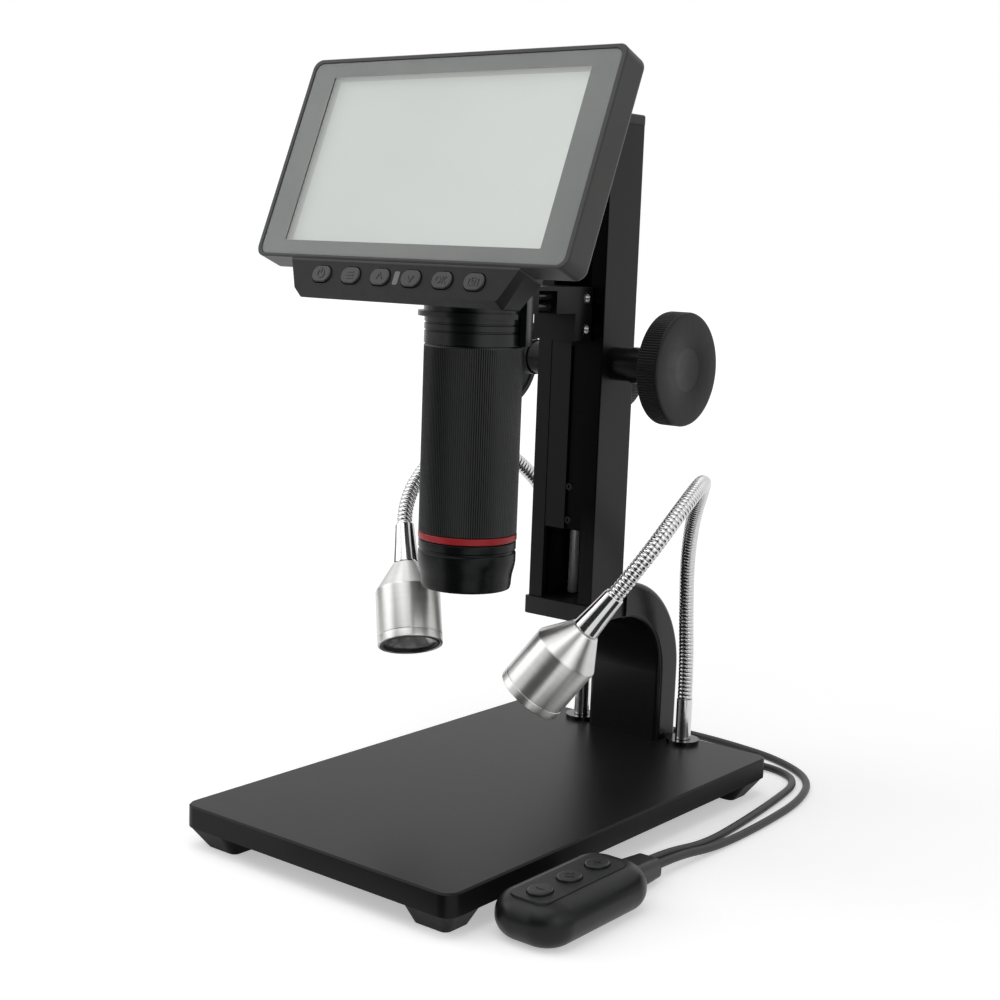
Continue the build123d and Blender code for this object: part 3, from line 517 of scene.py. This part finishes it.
def roundedRectangle(width, height, radius, steps=6):
    # quarter circles at the four corners, joined by straight sides
    quarter = [arc((sx * (width / 2 - radius), sy * (height / 2 - radius)), radius, a, a + 90, steps)
               for sx, sy, a in ((1, 1, 0), (-1, 1, 90), (-1, -1, 180), (1, -1, 270))]
    return np.vstack(quarter)


# ---- floor and light

floorSetup = {"half": 8.0, "glow": (0.42, 0.78), "from": (0.25, 1.3)}
skyStrengths = (0.42, 1.0)  # light on the object, then what camera, glossy and clear rays see


def directlySeen(f):
    # 1 for camera, glossy and clear rays, 0 for those that light the object
    rays = f.node("ShaderNodeLightPath").outputs
    seen = f.math("MAXIMUM", rays["Is Camera Ray"], rays["Is Glossy Ray"])
    return f.math("MAXIMUM", seen, rays["Is Transmission Ray"])


def studio():
    # a broad pale floor; camera, glossy and clear rays see it near white, by a glow that grows with the distance from
    # the middle, so that the shadow stays and the far floor is as white as the sky
    f = Finish("pale floor")
    diffuse = f.shader(f.blendColour(f.noise(3, 2), (0.80, 0.80, 0.80), (0.83, 0.83, 0.83)), 0.8,
                       Specular_IOR_Level=0.0)
    away = f.node("ShaderNodeVectorMath", operation="LENGTH")
    f.link(f.place(), away.inputs[0])
    glow = f.node("ShaderNodeEmission")
    f.link(f.span(away.outputs["Value"], *floorSetup["glow"], *floorSetup["from"]), glow.inputs["Strength"])
    both = f.node("ShaderNodeAddShader")
    f.link(diffuse, both.inputs[0])
    f.link(glow.outputs[0], both.inputs[1])
    f.done(f.mix(directlySeen(f), diffuse, both.outputs[0]))
    half = floorSetup["half"]
    mesh = bpy.data.meshes.new("floor")
    mesh.from_pydata([(-half, -half, 0), (half, -half, 0), (half, half, 0), (-half, half, 0)], [], [(0, 1, 2, 3)])
    mesh.materials.append(f.owner)
    put("floor", mesh)

    bpy.context.scene.world = bpy.data.worlds.new("studio")
    f = Finish("studio", bpy.context.scene.world)
    skies = [f.node("ShaderNodeBackground", in_Color=(1, 1, 1, 1), in_Strength=k).outputs[0] for k in skyStrengths]
    f.done(f.mix(directlySeen(f), *skies))


lampSetup = [  # large panels, each about as bright as white paper
    {"name": "overhead", "place": (-0.12, -0.30, 1.0), "aim": (0, 0, 0.1), "size": (1.2, 1.0), "power": 4.6},
    {"name": "leftPanel", "place": (-0.85, -0.55, 0.52), "aim": (0, 0, 0.12), "size": (0.75, 0.6), "power": 1.9},
    {"name": "rightPanel", "place": (0.95, -0.28, 0.5), "aim": (0, 0, 0.12), "size": (0.5, 0.55), "power": 1.0},
]
boardSetup = [  # dark boards that only glossy rays see: bearings from the front, then (distance, height) of two edges
    {"name": "frontBoard", "from": -18, "to": 44, "near": (0.85, 0.0), "far": (0.85, 0.5)},
    {"name": "leftBoard", "from": -105, "to": -30, "near": (0.85, 0.0), "far": (0.85, 0.14)},
    {"name": "upperBoard", "from": 44, "to": 57, "near": (0.8, 0.5), "far": (0.8, 1.1)},
    {"name": "tableBoard", "from": -14, "to": 30, "near": (0.12, 0.0015), "far": (0.85, 0.0015)},
    {"name": "sideBoard", "from": 66, "to": 108, "near": (0.13, 0.0015), "far": (0.5, 0.0015)},
    {"name": "sideTray", "from": 76, "to": 96, "near": (0.092, 0.02), "far": (0.142, 0.02)},
    {"name": "sideFlag", "from": 82, "to": 97, "near": (0.142, 0.0), "far": (0.142, 0.1)},
]


def addLamp(spec):
    # an area lamp at its place, turned so that its own -Z points at its aim
    data = bpy.data.lights.new(spec["name"], "AREA")
    data.shape = "RECTANGLE"
    data.size, data.size_y = spec["size"]
    data.energy = spec["power"]
    lamp = put(spec["name"], data)
    lamp.location = spec["place"]
    towards = Vector(spec["aim"]) - Vector(spec["place"])
    lamp.rotation_euler = towards.to_track_quat("-Z", "Y").to_euler()


def addBoard(spec):
    # a strip carried round the stand from its near edge to its far one; bearing 0 is in front, 90 to the right
    a = np.radians(np.linspace(spec["from"], spec["to"], 25))
    around = np.column_stack([np.sin(a), -np.cos(a)])
    points = np.vstack([np.column_stack([around * spec[k][0], np.full(len(a), spec[k][1])]) for k in ("near", "far")])
    k = np.arange(len(a) - 1)
    mesh = bpy.data.meshes.new(spec["name"])
    mesh.from_pydata(points.tolist(), [], np.column_stack([k, k + 1, k + 1 + len(a), k + len(a)]).tolist())
    f = Finish(spec["name"])
    mesh.materials.append(f.done(f.shader(f.blendColour(f.noise(4, 2), (0.02, 0.02, 0.02), (0.03, 0.03, 0.03)), 0.9)))
    board = put(spec["name"], mesh)
    board.visible_camera = board.visible_diffuse = board.visible_shadow = board.visible_transmission = False


studio()
for spec in lampSetup:
    addLamp(spec)
for spec in boardSetup:
    addBoard(spec)
print("floor and light in place")


# ---- cords

cordSetup = {
    "diameter": 3.0,
    "coilCentre": (-20.5, 120.6),
    "coilRadius": 16.8,
    "coilTurns": 6,
    "beside": 0.95,  # how far rings of one layer lie apart, in cord diameters
    "above": 0.88,  # how far layers lie apart
}
lying = 1.55  # height of a cord's middle when it lies on the ground
lampRoute = [  # from the gland under the back edge to the controller's strain relief
    (31.0, 96.3, 3.6), (31.0, 115.5, 3.6), (47.7, 125.1, lying), (64.3, 115.5, lying), (68.9, 86.5, lying),
    (72.2, 56.0, lying), (73.9, 28.0, lying), (72.2, 4.0, 4.6), (72.2, -10.3, 4.6),
]
usbRoute = [  # from the strain relief to the coil
    (76.8, -10.3, 4.6), (76.8, 5.0, 4.6), (78.5, 29.0, lying), (78.6, 62.0, lying), (76.0, 96.0, lying),
    (66.0, 122.0, lying), (44.0, 136.0, lying), (20.0, 140.6, lying), (-2.0, 140.6, 2.0),
]
usbTail = [(-37.6, 149.5, 2.9)]  # from the coil into the plug


def coilPoints(setup, perTurn=14):
    # each turn is a circle; three turns lie in rings on the ground, two in the hollows over them and one on top, and
    # radius and height run straight from the middle of one turn to the middle of the next
    d, middle = setup["diameter"], setup["coilRadius"]
    beside, above = setup["beside"] * d, setup["above"] * d
    rings = [(middle + beside, lying), (middle, lying), (middle - beside, lying),
             (middle - 0.5 * d, lying + above), (middle + 0.5 * d, lying + above), (middle, lying + 2 * above)]
    step = np.arange(setup["coilTurns"] * perTurn)
    phase = np.pi / 2 + tau * step / perTurn
    turn = step / perTurn
    radius = np.interp(turn, np.arange(len(rings)) + 0.5, [r for r, z in rings])
    height = np.interp(turn, np.arange(len(rings)) + 0.5, [z for r, z in rings])
    x = setup["coilCentre"][0] + radius * np.cos(phase)
    y = setup["coilCentre"][1] + radius * np.sin(phase)
    return np.column_stack([x, y, height]).tolist()


def cordCurve(name, points):
    # a round cord along a quadratic NURBS line that starts and ends at its first and last control point
    curve = bpy.data.curves.new(name, "CURVE")
    curve.dimensions = "3D"
    curve.bevel_depth = cordSetup["diameter"] / 2 * mm
    curve.bevel_resolution = 6
    curve.use_fill_caps = True
    spline = curve.splines.new("NURBS")
    spline.points.add(len(points) - 1)
    for at, p in zip(spline.points, points):
        at.co = (p[0] * mm, p[1] * mm, p[2] * mm, 1)
    spline.order_u = 3
    spline.use_endpoint_u = True
    curve.resolution_u = 10
    curve.materials.append(finishes["cord_rubber"])
    made = put(name, curve)
    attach(made, "stand")
    return made


def splineLength(obj):
    # length of the curve's own line, read from a copy with no bevel
    plain = obj.data.copy()
    plain.bevel_depth = 0
    probe = bpy.data.objects.new("probe", plain)
    mesh = bpy.data.meshes.new_from_object(probe)
    co = np.zeros(len(mesh.vertices) * 3)
    mesh.vertices.foreach_get("co", co)
    co = co.reshape(-1, 3)
    bpy.data.objects.remove(probe)
    return float(np.linalg.norm(np.diff(co, axis=0), axis=1).sum())


lampCord = cordCurve("lampCord", lampRoute)
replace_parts(lampCord, "lamp_cord")
splineLength(lampCord)
usbCord = cordCurve("usbCord", usbRoute + coilPoints(cordSetup) + usbTail)
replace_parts(usbCord, "usb_cord", "usb_coil")
splineLength(usbCord)
print("cords:", round(splineLength(lampCord), 3), round(splineLength(usbCord), 3))

tieSetup = {"bearing": -100, "halfWidth": 4.45, "low": 0.12, "high": 8.35, "corner": 2.4, "width": 6.0, "thick": 0.5}


def coilTie(setup):
    # a flat strap round the coil's section: a rounded rectangle carried a short way round the coil
    height = setup["high"] - setup["low"]
    middle = (setup["high"] + setup["low"]) / 2
    outer = roundedRectangle(2 * setup["halfWidth"], height, setup["corner"], 7)
    inner = outer * (1 - setup["thick"] / np.array([setup["halfWidth"], height / 2]))
    reach = setup["width"] / cordSetup["coilRadius"] / 2
    bearing = np.radians(setup["bearing"])
    rows = []
    for section, turn in ((outer, -reach), (outer, reach), (inner, reach), (inner, -reach)):
        radius = cordSetup["coilRadius"] + section[:, 0]
        rows.append(np.column_stack([cordSetup["coilCentre"][0] + radius * np.cos(bearing + turn),
                                     cordSetup["coilCentre"][1] + radius * np.sin(bearing + turn),
                                     middle + section[:, 1]]))
    return piece("coilTie", "black_plastic", "stand", [shell(np.array(rows), wrapAlong=True)])


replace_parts(coilTie(tieSetup), "usb_coil")


# ---- gooseneck lamps

neckSetup = {
    "radius": 2.9,
    "pitch": 1.62,
    "groove": 0.6,
    "around": 30,
    "rootY": 89.7,
    "rootZ": 33.35,
    "hinge": 4,  # a corner of the lamp's path, by its number
    "blend": 9.0,  # a length to both sides of that corner
    "phases": (0.0, 0.04, 0.13, 0.32, 0.5, 0.68, 0.87, 0.96),  # where along each pitch a ring stands
    "smoothed": 15,  # rings over which the path's direction is averaged
}
lampsSetup = {
    "left": {
        "corners": [(-25.0, 89.7, 45.4), (-27.5, 89.2, 68.7), (-31.1, 84.7, 89.7), (-35.4, 74.2, 109.6),
                    (-39.6, 57.8, 125.8), (-43.1, 36.4, 135.5), (-45.4, 15.6, 131.8)],
        "top": (-41.8, -6.8, 105.6), "along": (0.373, -0.323, -0.838), "lastRun": 10.5,
    },
    "right": {
        "corners": [(25.0, 89.7, 46.5), (25.9, 85.6, 70.3), (30.1, 77.4, 92.5), (39.0, 65.4, 111.1),
                    (52.4, 48.9, 125.7), (64.7, 28.7, 131.5), (69.6, 6.6, 123.4)],
        "top": (57.9, -12.8, 95.5), "along": (-0.566, -0.236, -0.817), "lastRun": 14.4,
    },
}


def neckPath(lamp):
    # quadratic B-spline: from the middle of one run to the middle of the next, bent towards the corner between
    along = np.array(lamp["along"]) / np.linalg.norm(lamp["along"])
    top = np.array(lamp["top"])
    root = (lamp["corners"][0][0], neckSetup["rootY"], neckSetup["rootZ"])
    corners = np.array([root] + lamp["corners"] + [tuple(top - along * lamp["lastRun"]), tuple(top + along * 0.6)])
    middles = (corners[:-1] + corners[1:]) / 2
    middles[0], middles[-1] = corners[0], corners[-1]
    t = np.linspace(0, 1, 80, endpoint=False)[:, None]
    runs = [(1 - t) ** 2 * a + 2 * t * (1 - t) * c + t ** 2 * b
            for a, c, b in zip(middles, corners[1:-1], middles[1:])]
    return np.vstack(runs + [corners[-1:]])


def neck(side, lamp):
    # rings stand square to the path; over each pitch their radius follows a flat-topped round, 1 - sqrt(1 - w^4) deep
    # with w from -1 to 1, so that a groove parts the coils
    path = neckPath(lamp)
    length = np.append(0, np.cumsum(np.linalg.norm(np.diff(path, axis=0), axis=1)))
    coils = int(round(length[-1] / neckSetup["pitch"]))
    share = np.array(neckSetup["phases"])
    phase = np.append(np.tile(share, coils), 0.0)
    s = np.append((np.arange(coils)[:, None] + share).ravel(), coils) * length[-1] / coils
    line = np.stack([np.interp(s, length, path[:, k]) for k in range(3)], 1)
    ahead = np.gradient(line, s, axis=0)
    rings = neckSetup["smoothed"]
    ahead = np.stack([np.convolve(np.pad(ahead[:, k], rings // 2, "edge"), np.ones(rings) / rings, "valid")
                      for k in range(3)], 1)
    ahead = ahead / np.linalg.norm(ahead, axis=1)[:, None]
    right = np.cross(ahead, (1.0, 0, 0))
    right = right / np.linalg.norm(right, axis=1)[:, None]
    back = np.cross(ahead, right)
    turn = tau * np.arange(neckSetup["around"]) / neckSetup["around"]
    radius = neckSetup["radius"] - neckSetup["groove"] * (1 - np.sqrt(1 - (2 * phase - 1) ** 4))
    radius = np.repeat(radius[:, None], len(turn), 1)
    grid = line[:, None] + radius[..., None] * (np.cos(turn)[None, :, None] * right[:, None]
                                                + np.sin(turn)[None, :, None] * back[:, None])
    own = np.stack([radius * np.cos(turn), radius * np.sin(turn), np.repeat(s[:, None], len(turn), 1)], -1)
    made = piece("neck" + side.capitalize(), "neck_chrome", None, [shell(grid, own)], sharp=80)
    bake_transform(made)
    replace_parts(made, "neck_lower_" + side, "neck_upper_" + side)
    print("neck", side, "length", round(float(length[-1]), 1))


# each part's outline, as (distance from the axis, distance along it, softness), with 0 at the neck's end
ferruleCorners = [
    (0, 0), (3.15, 0, 0.25), (3.55, 0.25, 0.3), (3.62, 1.3, 0.4), (4.1, 8.0), (4.78, 15.5, 0.3), (4.62, 15.98, 0.2),
    (0, 15.98),
]
housingCorners = [
    (0, 16.02), (5.2, 16.02, 0.15), (5.45, 16.25, 0.2), (11.9, 26.3, 0.35), (11.9, 43.5, 0.05), (11.72, 43.62, 0.05),
    (11.72, 43.84, 0.05), (11.9, 43.96, 0.05), (11.9, 46.6, 0.12), (11.72, 46.8, 0.1), (11.1, 46.8, 0.1),
    (10.95, 46.6, 0.1), (10.95, 38.9, 0.3), (0, 38.9),
]
bezelCorners = [(9.55, 45.6), (9.55, 46.45, 0.2), (9.95, 46.72, 0.2), (10.75, 46.72, 0.1), (10.9, 46.6, 0.1),
                (10.9, 45.4), (9.8, 45.4)]
reflectorCorners = [
    (10.85, 44.6), (10.85, 45.3, 0.1), (9.8, 45.3, 0.2), (8.9, 44.4, 0.6), (7.1, 42.3, 0.8), (5.0, 40.6, 0.6),
    (3.4, 39.9), (3.4, 39.2), (5.6, 39.2), (10.4, 43.6),
]
emitterCorners = [(0, 41.6), (1.8, 41.4, 0.6), (3.2, 40.6, 0.5), (3.4, 39.9), (3.4, 39.0), (0, 39.0)]
windowCorners = [(0, 45.6), (9.5, 45.6), (9.5, 45.75), (7.0, 46.15), (3.5, 46.4), (0, 46.5)]


def lampHead(side, lamp):
    # ferrule, housing with its bore, black lip, reflector bowl, dome and clear window, turned about the lamp's axis
    parts = (
        ("ferrule", "neck_chrome", ferruleCorners, False, 72, "lamp_ferrule_"),
        ("housing", "lamp_aluminium", housingCorners, False, 144, "lamp_housing_"),
        ("bezel", "black_plastic", bezelCorners, True, 96, "lamp_lens_"),
        ("reflector", "lamp_aluminium", reflectorCorners, True, 96, "lamp_lens_"),
        ("emitter", "lamp_glass", emitterCorners, False, 48, "lamp_lens_"),
        ("window", "lamp_glass", windowCorners, False, 96, "lamp_lens_"),
    )
    for label, slot, corners, ring, around, node in parts:
        shells = [lathe(outline(corners, ring), lamp["top"], lamp["along"], around, ring)]
        made = piece(label + side.capitalize(), slot, "lamp_" + side, shells)
        if label == "housing":
            made.data.materials[0] = turnedMetal("turned aluminium " + side, (0.60, 0.60, 0.59), (0.67, 0.67, 0.66),
                                                 0.34, 0.02, 2600, 0.0006, 0.15, lamp["along"])
        if label in lampFinishes:
            made.data.materials[0] = lampFinishes[label]
        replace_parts(made, node + side)


lampFinishes = {
    "bezel": finishes["key_plastic"],
    "reflector": moulded("reflector bowl", (0.25, 0.25, 0.25), (0.8, 0.8, 0.8), 0.14, 60, 0.2, 0.7, (8, 8, 8),
                         Metallic=0.45),
    "emitter": moulded("emitter dome", (0.03, 0.03, 0.028), (0.05, 0.05, 0.045), 0.1, 300, 0.01, 0.1),
}
for side, lamp in lampsSetup.items():
    neck(side, lamp)
    lampHead(side, lamp)
print("lamps made")


# ---- barrel

barrelSetup = {"axis": (0, -21.0, 0), "sleeveRibs": 135, "stepsPerRib": 6, "ribDepth": 0.2, "around": 160}
sleeveCorners = [  # radius, height, how deep the ribs are there
    (15.80, 110.5, 0), (17.05, 110.5, 0), (17.25, 110.75, 0.3), (17.25, 111.4, 1), (17.25, 174.7, 1),
    (17.25, 175.0, 0.4), (17.0, 175.5, 0), (15.80, 175.5, 0),
]
ringCorners = [(15.80, 108.05), (17.2, 108.05, 0.2), (17.35, 108.25, 0.2), (17.35, 110.15, 0.2), (17.2, 110.38, 0.2),
               (15.80, 110.38)]
hoodCorners = [
    (15.75, 97.2), (15.75, 107.7), (17.0, 107.7, 0.15), (17.15, 107.5, 0.15), (17.15, 105.0, 0.1),
    (16.65, 104.6, 0.1), (16.65, 104.05, 0.1), (17.2, 103.6, 0.2), (17.2, 100.6, 0.6), (16.95, 98.8, 0.9),
    (16.1, 95.4, 0.9), (15.85, 92.0, 0.5), (15.5, 90.85, 0.3), (14.3, 90.85, 0.3), (13.2, 92.0, 0.3), (12.65, 97.2),
]


def barrel():
    # the grip's section is a ribbed ring; accent band and hood are plain rings about the same axis
    ribbed = np.array(sleeveCorners)
    ribs = barrelSetup["sleeveRibs"]
    sleeve = lathe(ribbed[:, :2], barrelSetup["axis"], around=ribs * barrelSetup["stepsPerRib"], ring=True, ribs=ribs,
                   swell=ribbed[:, 2] * barrelSetup["ribDepth"])
    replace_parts(piece("focusGrip", "barrel_black", "focus", [sleeve]), "focus_sleeve")
    band = lathe(outline(ringCorners, True), barrelSetup["axis"], around=barrelSetup["around"], ring=True)
    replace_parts(piece("accentBand", "red_anodised", "focus", [band]), "accent_ring")
    hood = lathe(outline(hoodCorners, True), barrelSetup["axis"], around=barrelSetup["around"], ring=True)
    hood = piece("lensHood", "barrel_black", "carriage", [hood])
    hood.data.materials[0] = moulded("hood black", (0.002, 0.0028, 0.0025), (0.0035, 0.0046, 0.0042), 0.28, 1400,
                                     0.01, 0.15, Specular_IOR_Level=0.18)
    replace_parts(hood, "lens_hood")


barrel()
print("barrel made")


# ---- guide rails

railSetup = {
    "centre": 5.5,
    "halfWidth": 2.05,
    "back": 52.0,
    "bulge": 2.1,
    "low": 77.4,
    "high": 153.6,
    "easedOver": 0.3,  # at both ends the section shrinks over this length
    "easedTo": 0.9,
}


def guideRails(setup):
    # two half-round bars on the channel's back wall: half an ellipse across, straight up their length
    a = np.radians(np.linspace(0, 180, 25))
    low, high, ease = setup["low"], setup["high"], setup["easedOver"]
    rows = np.array([low, low + ease, high - ease, high])
    shrink = np.array([setup["easedTo"], 1, 1, setup["easedTo"]])[:, None] * (setup["halfWidth"], -setup["bulge"])
    bars = []
    for x in (-setup["centre"], setup["centre"]):
        section = np.array([x, setup["back"]]) + np.column_stack([np.cos(a), np.sin(a)])[None] * shrink[:, None]
        bars.append(shell(np.dstack([section, np.repeat(rows[:, None], len(a), 1)])))
    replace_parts(piece("guideRails", "guide_steel", "stand", bars), "guide_strip")


guideRails(railSetup)


# ---- knobs

knobSetup = {"start": 36.8, "ribs": 128, "stepsPerRib": 5, "ribDepth": 0.3, "centre": (45.2, 167.9)}
knobCorners = [  # radius, height from the inner face, rib depth
    (0, 0, 0), (8.5, 0, 0), (9.0, 0.6, 0), (17.6, 0.6, 0), (18.2, 0, 0), (19.9, 0, 0), (20.45, 0.35, 0.2),
    (20.6, 0.9, 1), (20.6, 7.5, 1), (20.6, 7.8, 0.5), (20.35, 8.3, 0), (19.9, 8.6, 0), (19.3, 8.7, 0), (7.95, 8.7, 0),
    (7.8, 8.62, 0), (0, 8.62, 0),
]
tensionSetup = {"centre": (0, 56.5, 161.0), "ribs": 64, "stepsPerRib": 6, "ribDepth": 0.4}
tensionCorners = [
    (0, -4.3, 0), (2.0, -4.3, 0), (2.0, 0.45, 0), (5.5, 0.45, 0), (5.5, 2.6, 0), (12.1, 2.6, 0), (12.8, 2.9, 0.3),
    (13.0, 3.5, 1), (13.0, 9.0, 1), (12.8, 9.6, 0.3), (12.2, 9.95, 0), (10.4, 10.0, 0), (10.0, 9.6, 0), (0, 9.6, 0),
]


def knobs():
    # a ribbed wheel with a shallow disc in its face, on each end of the shaft, and the smaller one behind
    shape = np.array(knobCorners)
    for label, s in (("Right", 1), ("Left", -1)):
        wheel = lathe(shape[:, :2], (s * knobSetup["start"], *knobSetup["centre"]), (s, 0, 0),
                      knobSetup["ribs"] * knobSetup["stepsPerRib"], ribs=knobSetup["ribs"],
                      swell=shape[:, 2] * knobSetup["ribDepth"])
        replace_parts(piece("knob" + label, "knob_plastic", "drive", [wheel], 30), "knob_" + label.lower())
    shape = np.array(tensionCorners)
    wheel = lathe(shape[:, :2], tensionSetup["centre"], (0, 1, 0), tensionSetup["ribs"] * tensionSetup["stepsPerRib"],
                  ribs=tensionSetup["ribs"], swell=shape[:, 2] * tensionSetup["ribDepth"])
    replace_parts(piece("tensionKnob", "knob_plastic", "tension", [wheel], 30), "tension_knob")


knobs()
print("knobs made")


# ---- display

displaySetup = {
    "glass": (130.4, 71.6, 3.0),
    "glassShift": 0.25,
    "window": (110.0, 61.0, 0.4),
    "border": (-0.26, -0.2),  # from back to front, out of the glass's face
    "pane": (-0.19, -0.1, 0.0),
    "paneBevel": 0.15,
    "keyHeight": -42.3,
    "keys": {"power": -32.9, "menu": -19.6, "up": -6.5, "down": 6.9, "ok": 20.0, "camera": 33.1},
    "stroke": 0.34,
    "mark": (0.12, 0.36),
}


def onScreen(grid):
    # (across, up the glass, out of it) to the row frame
    return (screenFrame["centre"] + grid[..., :1] * np.array([1.0, 0, 0]) + grid[..., 1:2] * screenFrame["up"]
            + grid[..., 2:] * screenFrame["out"])


def glassPieces(setup):
    # the printed border is a flat frame under the pane; the pane is a thin rounded sheet over all of it
    width, height, radius = setup["glass"]
    back, front = setup["border"]
    bevel = setup["paneBevel"]
    outer = roundedRectangle(width, height, radius, 8) + (0, setup["glassShift"])
    inner = roundedRectangle(*setup["window"], 8)
    rows = [np.column_stack([loop, np.full(len(loop), w)])
            for loop, w in ((outer, back), (outer, front), (inner, front), (inner, back))]
    border = piece("glassBorder", "screen_glass", "carriage", [shell(onScreen(np.array(rows)), wrapAlong=True)], 30)
    border.data.materials[0] = moulded("printed border", (0.184, 0.195, 0.186), (0.212, 0.224, 0.214), 0.22, 600,
                                       0.004, 0.08, Specular_IOR_Level=0.25)
    border.visible_shadow = border.visible_diffuse = False  # light spreads through the glass round the thin print
    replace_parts(border, "cover_glass")
    edge = roundedRectangle(width - 2 * bevel, height - 2 * bevel, radius - bevel, 8) + (0, setup["glassShift"])
    rows = [np.column_stack([loop, np.full(len(loop), w)]) for loop, w in zip((outer, outer, edge), setup["pane"])]
    pane = piece("glassPane", "screen_glass", "carriage", [shell(onScreen(np.array(rows)))], 30)
    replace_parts(pane, "cover_glass")


def keyMarks(setup):
    # plain raised strokes: power, menu bars, chevrons, OK and a camera, each riding on its own key
    strokes = {
        "power": [arc((0, 0), 1.45, 125, 415), [(0, 0.3), (0, 2.0)]],
        "menu": [[(-1.5, k), (1.5, k)] for k in (-1.1, 0, 1.1)],
        "up": [[(-1.2, -0.8), (0, 1.3), (1.2, -0.8)]],
        "down": [[(-1.2, 0.8), (0, -1.3), (1.2, 0.8)]],
        "ok": [arc((-1.25, 0), 1.0, 0, 345), [(0.45, -1.2), (0.45, 1.2)], [(1.85, 1.2), (0.6, 0.0)],
               [(0.75, 0.1), (1.95, -1.2)]],
        "camera": [[(-1.9, -1.25), (-1.9, 0.9), (-0.9, 0.9), (-0.6, 1.4), (0.6, 1.4), (0.9, 0.9), (1.9, 0.9),
                    (1.9, -1.25), (-1.75, -1.25)], arc((0, -0.15), 0.7, 0, 345)],
    }
    for key, across in setup["keys"].items():
        place = lambda grid: onScreen(grid + np.array([across, setup["keyHeight"], 0]))
        shells = [ribbon(s, setup["stroke"], *setup["mark"], place) for s in strokes[key]]
        piece(key + "Mark", "key_plastic", key + "_button", shells)


glassPieces(displaySetup)
keyMarks(displaySetup)
print("display made")


# ---- controller marks

controllerSetup = {
    "x": 76.9,
    "keys": {"dim": -74.3, "switch": -59.1, "bright": -43.9},
    "mark": (15.8, 16.02),
    "stroke": 0.45,
}


def controllerMarks(setup):
    # minus, power ring and plus, raised a little on the keys
    strokes = {
        "dim": [[(-1.5, 0), (1.5, 0)]],
        "switch": [arc((0, 0), 1.5, 125, 415), [(0, 0.5), (0, 2.2)]],
        "bright": [[(-1.5, 0), (1.5, 0)], [(0, -1.5), (0, 1.5)]],
    }
    for key, y in setup["keys"].items():
        place = lambda grid: grid + np.array([setup["x"], y, 0])
        shells = [ribbon(s, setup["stroke"], *setup["mark"], place) for s in strokes[key]]
        piece(key + "Mark", "controller_key", key + "_button", shells)


controllerMarks(controllerSetup)
print("controller made")
